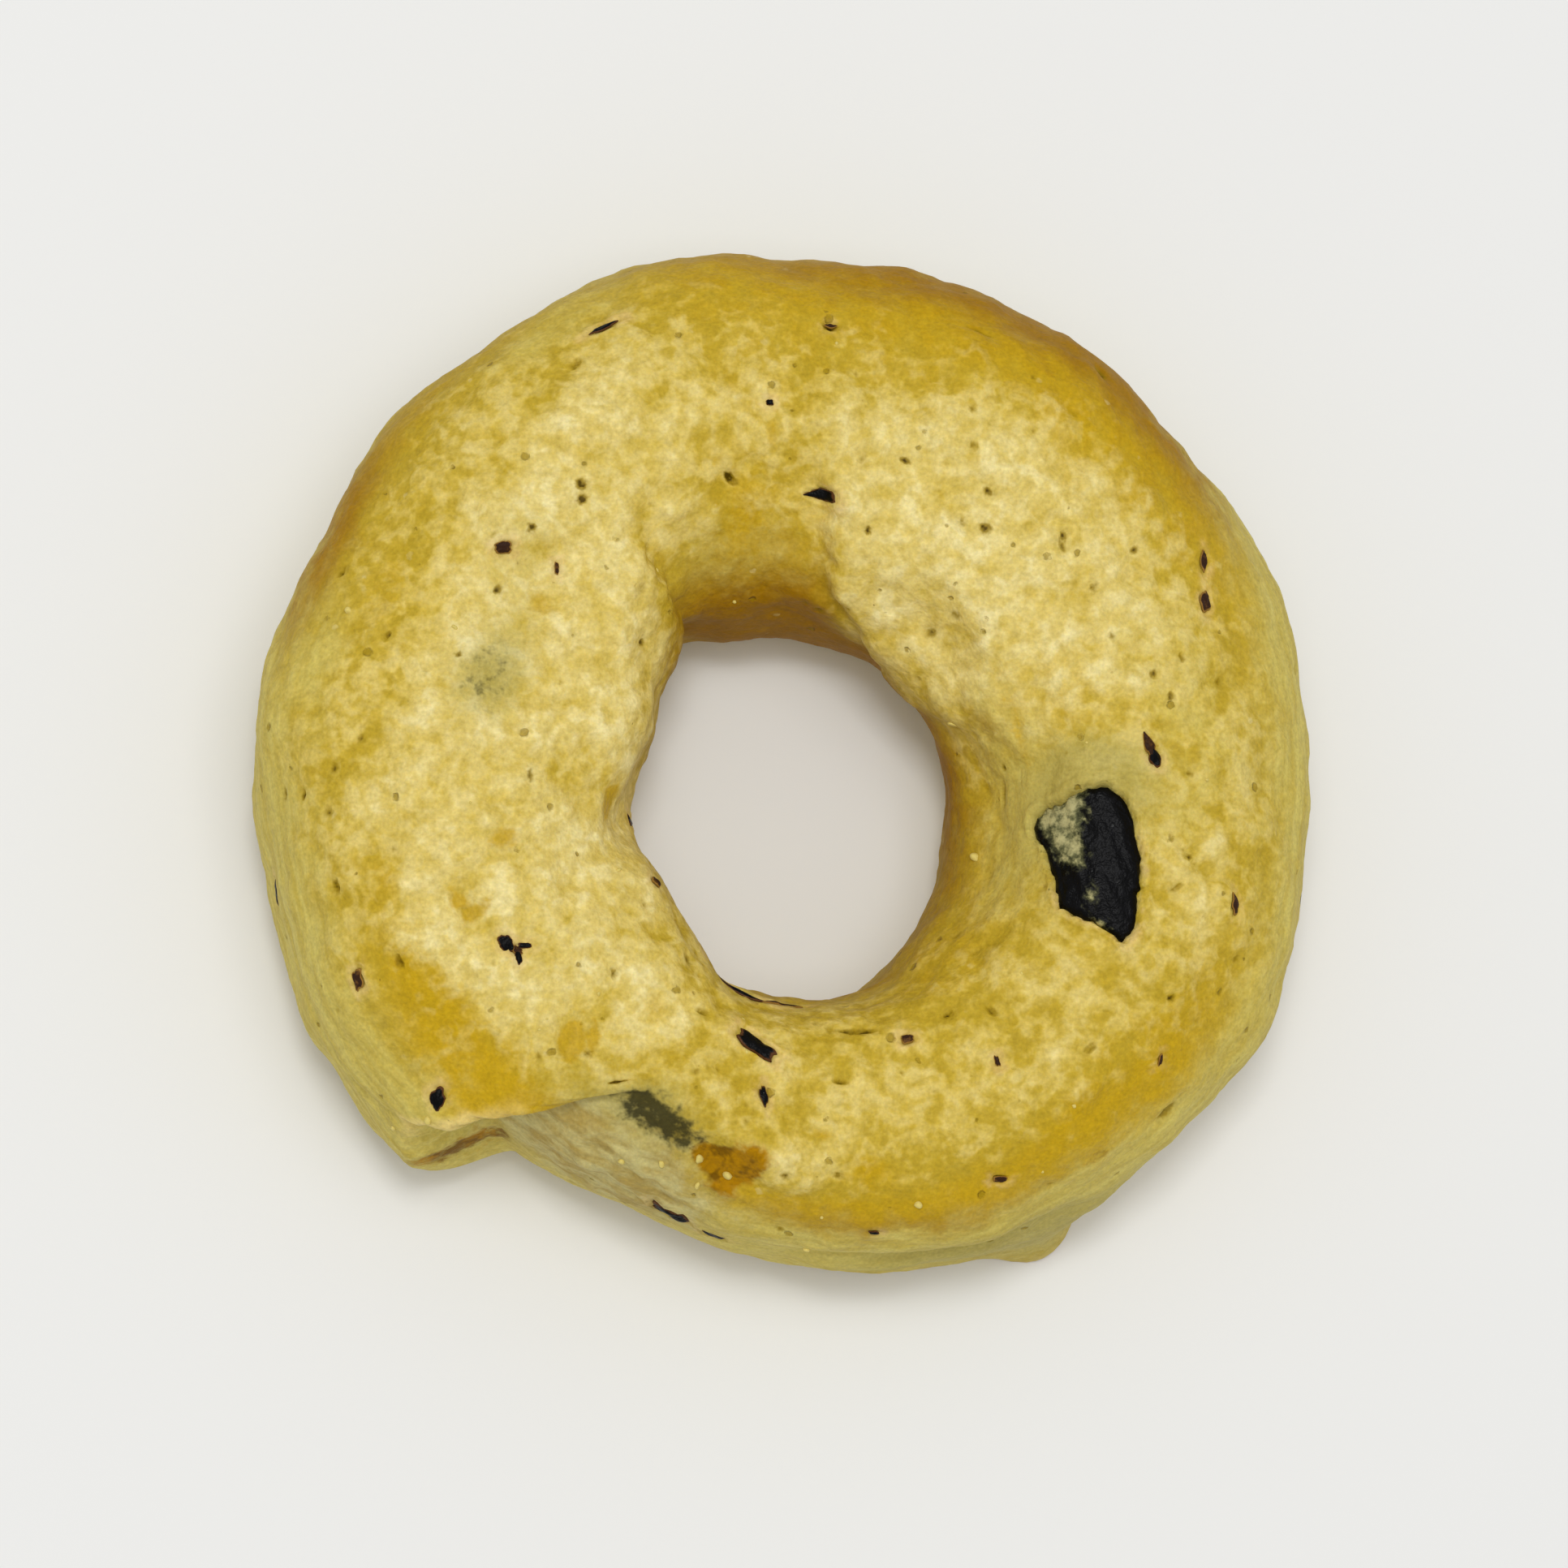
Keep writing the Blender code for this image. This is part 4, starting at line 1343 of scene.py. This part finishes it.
@dataclass(frozen=True)
class Shreds:
    """All the olive shreds in the crust, and the smear of dough on the largest."""

    largest: Shred = Shred(
        340,
        106,
        5.3,
        3.6,
        turn=-140,
        point=0.0,
        traced=(
            (2.70, 0.12), (2.05, 0.75), (1.15, 1.38), (0.30, 1.85), (-0.80, 2.30), (-1.45, 2.50),
            (-2.00, 2.20), (-2.20, 1.60), (-2.40, 0.90), (-2.35, 0.20), (-2.50, -0.50),
            (-2.55, -1.00), (-2.35, -1.40), (-2.00, -1.50), (-1.42, -1.18), (-0.60, -1.30),
            (0.45, -1.40), (0.80, -1.52), (1.15, -1.10), (1.55, -0.66), (1.90, -0.36),
        ),
    )
    skin: tuple[Shred, ...] = many(
        Shred,
        (260.5, 112, 1.7, 0.75, -24), (1.6, 89.2, 0.66, 0.62, 20, 0.5), (255, 13, 1.6, 0.85, -8),
        (261, 8, 0.9, 0.6, -8), (87, 113.5, 1.1, 0.66, 8, 0.9, 2), (212, 91, 0.7, 0.58, 10),
        (213.9, 94.6, 0.5, 0.26, 57), (214.9, 91.4, 0.6, 0.26, -33), (223, 44, 0.9, 0.56, -50),
        (114.5, 50, 1.1, 0.28, -2), (96, 87, 0.28, 0.24), (263, 92, 0.75, 0.34, -75),
        (279.5, 41, 0.38, 0.22, -10), (196, 168, 0.6, 0.45, 70), (256, 146.5, 2, 0.26, -10),
    )
    # The first is the brown tip of a shred that is black at its broad end. The second lies between
    # three black ones.
    flesh: tuple[Shred, ...] = many(
        Shred,
        (4, 90.6, 1.15, 0.66, 20, 0.95), (213.9, 92.4, 0.4, 0.3, 20), (206.5, 46, 0.75, 0.5, -27),
        (145.5, 85, 0.75, 0.45, -50), (142.5, 101, 0.42, 0.2, 38), (86.5, 59, 0.45, 0.18),
        (28, 53, 0.75, 0.3, -28), (23, 60, 0.75, 0.48, -23), (343, 60, 0.7, 0.4, 17),
        (296, 54, 0.55, 0.3, -26), (321, 59, 0.5, 0.2, 39), (291, 115, 0.5, 0.35, -21),
        (303, 92, 0.42, 0.22, 80), (219, 146, 0.5, 0.36, 40), (267, 147, 1.5, 0.2, 14),
    )
    far_seed: int = 11
    far_count: int = 14
    far_angle: tuple[float, float] = (-20, 205)
    far_around: tuple[float, float] = (-32, 2)
    far_length: tuple[float, float] = (0.8, 1.9)
    far_width_share: tuple[float, float] = (0.4, 0.7)
    film_low: tuple[tuple[float, float], ...] = (
        (-2.9, -1.15), (-2.4, -1.12), (-1.9, -1.10), (-1.3, -1.04), (-0.7, -0.75), (0.2, -0.36),
    )
    film_high: tuple[tuple[float, float], ...] = (
        (-2.7, 2.1), (-2.15, 1.35), (-1.7, 1.05), (-1.2, 0.52), (-0.8, 0.34), (-0.1, 0.04), (0.2, -0.24),
    )
    film_end: float = -3.1
    largest_middle: float = -0.26
    largest_half: float = 0.40

    def far(self) -> tuple[Shred, ...]:
        """The shreds on the sides turned away, drawn with a fixed seed."""
        draw = random.Random(self.far_seed)
        low, high = self.far_angle
        step = (high - low) / self.far_count
        shreds = []
        for number in range(self.far_count):
            length = draw.uniform(*self.far_length)
            shreds.append(
                Shred(
                    angle=low + step * (number + draw.random()),
                    around=draw.uniform(*self.far_around),
                    length=length,
                    width=length * draw.uniform(*self.far_width_share),
                    turn=draw.uniform(-90, 90),
                    point=draw.uniform(0.0, 0.5),
                )
            )
        return tuple(shreds)

    def black(self) -> tuple[Shred, ...]:
        """Every shred of skin."""
        return (self.largest,) + self.skin + self.far()

    def height(self, shred: Shred, x: Values, y: Values, rise: Values) -> Values:
        """How high a shred's skin stands over the dough.

        Args:
            shred: The shred.
            x: Places along it.
            y: Places across it.
            rise: 1 on its top, 0 on its outline, -1 on its underside.

        Returns:
            Heights in millimetres.
        """
        folds = np.stack([0.9 * x, 2.6 * y, 0 * x], axis=1)
        if shred is self.largest:
            wrinkles = 0.10 * grain(folds, 1.0, 2.0) + 0.05 * grain(folds, 0.4, 6.0)
            bulge = np.sign(rise) * np.abs(rise) ** 0.6
            return self.largest_middle + self.largest_half * bulge + wrinkles
        half = max(0.16 * shred.width, 0.07)
        return 0.06 - half + half * rise + 0.03 * grain(folds, 0.3, shred.angle)

    def smear(self, x: Values, y: Values) -> Values:
        """How thickly dough covers the largest shred.

        Args:
            x: Places along it.
            y: Places across it.

        Returns:
            0 where it is bare, about 0.5 at the smear's edge.
        """
        streaky = np.stack([0.45 * x + 0.5 * y, 1.3 * y - 0.6 * x, 0 * x], axis=1)
        low = y - np.interp(x, *zip(*self.film_low))
        high = np.interp(x, *zip(*self.film_high)) - y
        inside = np.minimum(np.minimum(low, high), x - self.film_end)
        uneven = 0.30 * grain(streaky, 0.42, 4.0) + 0.22 * grain(streaky, 0.16, 8.0)
        return np.clip(0.5 + 1.1 * (inside + uneven - 0.14), 0.0, 0.95)

    def shape(self, mesh: bmesh.types.BMesh, shred: Shred, crust: Crust) -> None:
        """Adds one shred to a mesh.

        Args:
            mesh: The mesh that the shred joins.
            shred: The shred.
            crust: The dough that it lies in.
        """
        steps = 5 if shred is self.largest else 4
        ball = bmesh.ops.create_icosphere(mesh, subdivisions=steps, radius=1.0)["verts"]
        unit = np.array([vert.co for vert in ball])
        reach = shred.edge(np.arctan2(unit[:, 1], unit[:, 0]))
        x = unit[:, 0] * reach * shred.length / 2
        y = unit[:, 1] * reach * shred.width * shred.narrow(unit[:, 0] * reach) / 2
        patch = crust.patch(shred.angle, shred.around)
        angle, around = patch.to_dough(*shred.to_patch(x, y))
        up = self.height(shred, x, y, unit[:, 2])
        points = crust.on_surface(angle, around, up, shred is self.largest)
        smear = self.smear(x, y) if shred is self.largest else 0.0 * x
        from_middle = np.hypot(unit[:, 0], unit[:, 1])
        rim = smooth_step((from_middle - 0.86) / 0.3) * (0.0 if shred is self.largest else 1.0)
        layers = mesh.verts.layers.float
        for vert, point, share, edge in zip(ball, points, smear, rim):
            vert.co = Vector(point)
            vert[layers[Zone.FILM.value]] = share
            vert[layers[Zone.RIM.value]] = edge

    def build(self, crust: Crust, name: str, shreds: tuple[Shred, ...]) -> bpy.types.Object:
        """Makes shreds of one kind as one piece.

        Args:
            crust: The dough that they lie in.
            name: The piece's name.
            shreds: The shreds.

        Returns:
            The piece's object.
        """
        mesh = bmesh.new()
        for zone in (Zone.FILM, Zone.RIM):
            mesh.verts.layers.float.new(zone.value)
        for shred in shreds:
            self.shape(mesh, shred, crust)
        return new_piece(name, mesh)


@dataclass(frozen=True)
class Crumbs:
    """Small loose grains that stuck to the crust."""

    placed: tuple[tuple[float, float, float], ...] = (
        (162, 45, 0.24), (18.5, 158, 0.30), (337.5, 161, 0.32), (272, 20, 0.26), (285, 55, 0.26),
        (224, 36, 0.26), (224.5, 13, 0.22), (222, 15, 0.20), (255.6, 54, 0.26), (260, 53, 0.34),
        (256.5, 41, 0.24), (246, 34, 0.24), (251, 42, 0.24),
    )
    seed: int = 3
    count: int = 18
    size: tuple[float, float] = (0.08, 0.15)

    def places(self) -> list[tuple[float, float, float]]:
        """Where the crumbs lie and how large they are."""
        draw = random.Random(self.seed)
        places = list(self.placed)
        for _ in range(self.count):
            places.append((draw.uniform(0, 360), draw.gauss(95, 32), draw.uniform(*self.size)))
        return places

    def build(self, crust: Crust) -> bpy.types.Object:
        """Makes the crumbs as one piece.

        Args:
            crust: The dough that they lie on.

        Returns:
            The piece's object.
        """
        mesh = bmesh.new()
        for angle, around, size in self.places():
            ball = bmesh.ops.create_icosphere(mesh, subdivisions=2, radius=size / 2)["verts"]
            drawn_out = 1 + abs(noise.noise(Vector((angle, around, 0))))
            for vert in ball:
                vert.co *= 1 + 0.5 * noise.noise(vert.co / size * 1.7 + Vector((angle, 0, 0)))
                vert.co.y *= drawn_out
            unit = np.array([vert.co for vert in ball])
            angles, arounds = crust.patch(angle, around).to_dough(unit[:, 0], unit[:, 1])
            for vert, point in zip(ball, crust.on_surface(angles, arounds, unit[:, 2], False)):
                vert.co = Vector(point)
        return new_piece("crumbs", mesh)


@dataclass(frozen=True)
class Lamp:
    """A soft square light: its place and side in millimetres, and its power in watts."""

    name: str
    place: tuple[float, float, float]
    side: float
    power: float


@dataclass(frozen=True)
class Studio:
    """A pale floor, soft light and the camera almost overhead."""

    aim: Vector = field(default_factory=lambda: Vector((0.0, -0.86, 5.5)))
    lean: float = 11.0
    lean_towards: float = -45.0
    distance: float = 260.0
    view_width: float = 54.0
    sensor: float = 36.0
    floor_size: float = 1600.0
    floor_colour: Colour = srgb(236, 236, 234)
    floor_drop: float = 0.02
    lamps: tuple[Lamp, ...] = many(
        Lamp, ("overhead", (-10, 0, 450), 260, 0.56), ("key", (-50, 40, 435), 80, 0.46)
    )
    sky_strength: float = 0.52

    def camera(self) -> None:
        """Sets the camera, leaning a little towards the ring's lapped side."""
        lean, towards = math.radians(self.lean), math.radians(self.lean_towards)
        back = Vector(
            (
                math.sin(towards) * math.sin(lean),
                -math.cos(towards) * math.sin(lean),
                math.cos(lean),
            )
        )
        up = (Vector((0, 1, 0)) - back * back.y).normalized()
        place = Matrix((up.cross(back), up, back)).transposed().to_4x4()
        place.translation = (self.aim + back * self.distance) * MM
        lens = bpy.data.cameras.new("camera")
        lens.sensor_width = self.sensor
        lens.lens = self.sensor * self.distance / self.view_width
        lens.clip_start = 10 * MM
        camera = add_object("camera", lens)
        camera.matrix_world = place
        bpy.context.scene.camera = camera

    def floor(self) -> None:
        """Lays the floor just under the base."""
        mesh = bmesh.new()
        bmesh.ops.create_grid(mesh, x_segments=1, y_segments=1, size=self.floor_size / 2 * MM)
        bmesh.ops.translate(mesh, vec=(0, 0, -self.floor_drop * MM), verts=mesh.verts)
        recipe = Recipe("floor")
        recipe.set(Base_Color=self.floor_colour, Roughness=0.8)
        floor = new_piece("floor", mesh)
        floor.data.materials.append(recipe.material)

    def light(self, lamp: Lamp) -> None:
        """Adds a lamp that faces the ring."""
        area = bpy.data.lights.new(lamp.name, "AREA")
        area.size = lamp.side * MM
        area.energy = lamp.power
        lit = add_object(lamp.name, area)
        lit.location = Vector(lamp.place) * MM
        lit.rotation_euler = Vector(lamp.place).to_track_quat("Z", "Y").to_euler()

    def build(self) -> None:
        """Sets up the floor, the lights, the surroundings and the camera."""
        self.floor()
        for lamp in self.lamps:
            self.light(lamp)
        world = bpy.data.worlds.new("surroundings")
        world.use_nodes = True
        sky = world.node_tree.nodes["Background"]
        sky.inputs["Color"].default_value = (1.0, 1.0, 1.0, 1.0)
        sky.inputs["Strength"].default_value = self.sky_strength
        bpy.context.scene.world = world
        bpy.context.scene.view_settings.view_transform = "Standard"
        self.camera()


@dataclass(frozen=True)
class Tarallo:
    """The whole biscuit: its dough, the olive in it and the crumbs on it."""

    crust: Crust = field(default_factory=Crust)
    shreds: Shreds = field(default_factory=Shreds)
    crumbs: Crumbs = field(default_factory=Crumbs)

    def finish(self, piece: bpy.types.Object, material: bpy.types.Material) -> None:
        """Gives a piece its material and its body, and logs it.

        Args:
            piece: The piece.
            material: Its material.
        """
        piece.data.materials.append(material)
        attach(piece, BODY)
        LOG.info("%s: %d faces", piece.name, len(piece.data.polygons))

    def build(self) -> None:
        """Makes every piece in turn."""
        black, brown = self.shreds.black(), self.shreds.flesh
        dough = self.crust.build(black + brown)
        self.finish(dough, CrustFinish().material())
        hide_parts(NODE)
        for olive, shreds in ((OLIVE_SKIN, black), (OLIVE_FLESH, brown)):
            piece = self.shreds.build(self.crust, olive.name, shreds)
            self.finish(piece, olive.material())
        self.finish(self.crumbs.build(self.crust), CrumbFinish().material())


def main() -> None:
    """Builds the tarallo and its studio."""
    logging.basicConfig(level=logging.INFO)
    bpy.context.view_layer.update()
    Tarallo().build()
    Studio().build()


if __name__ == "__main__":
    main()
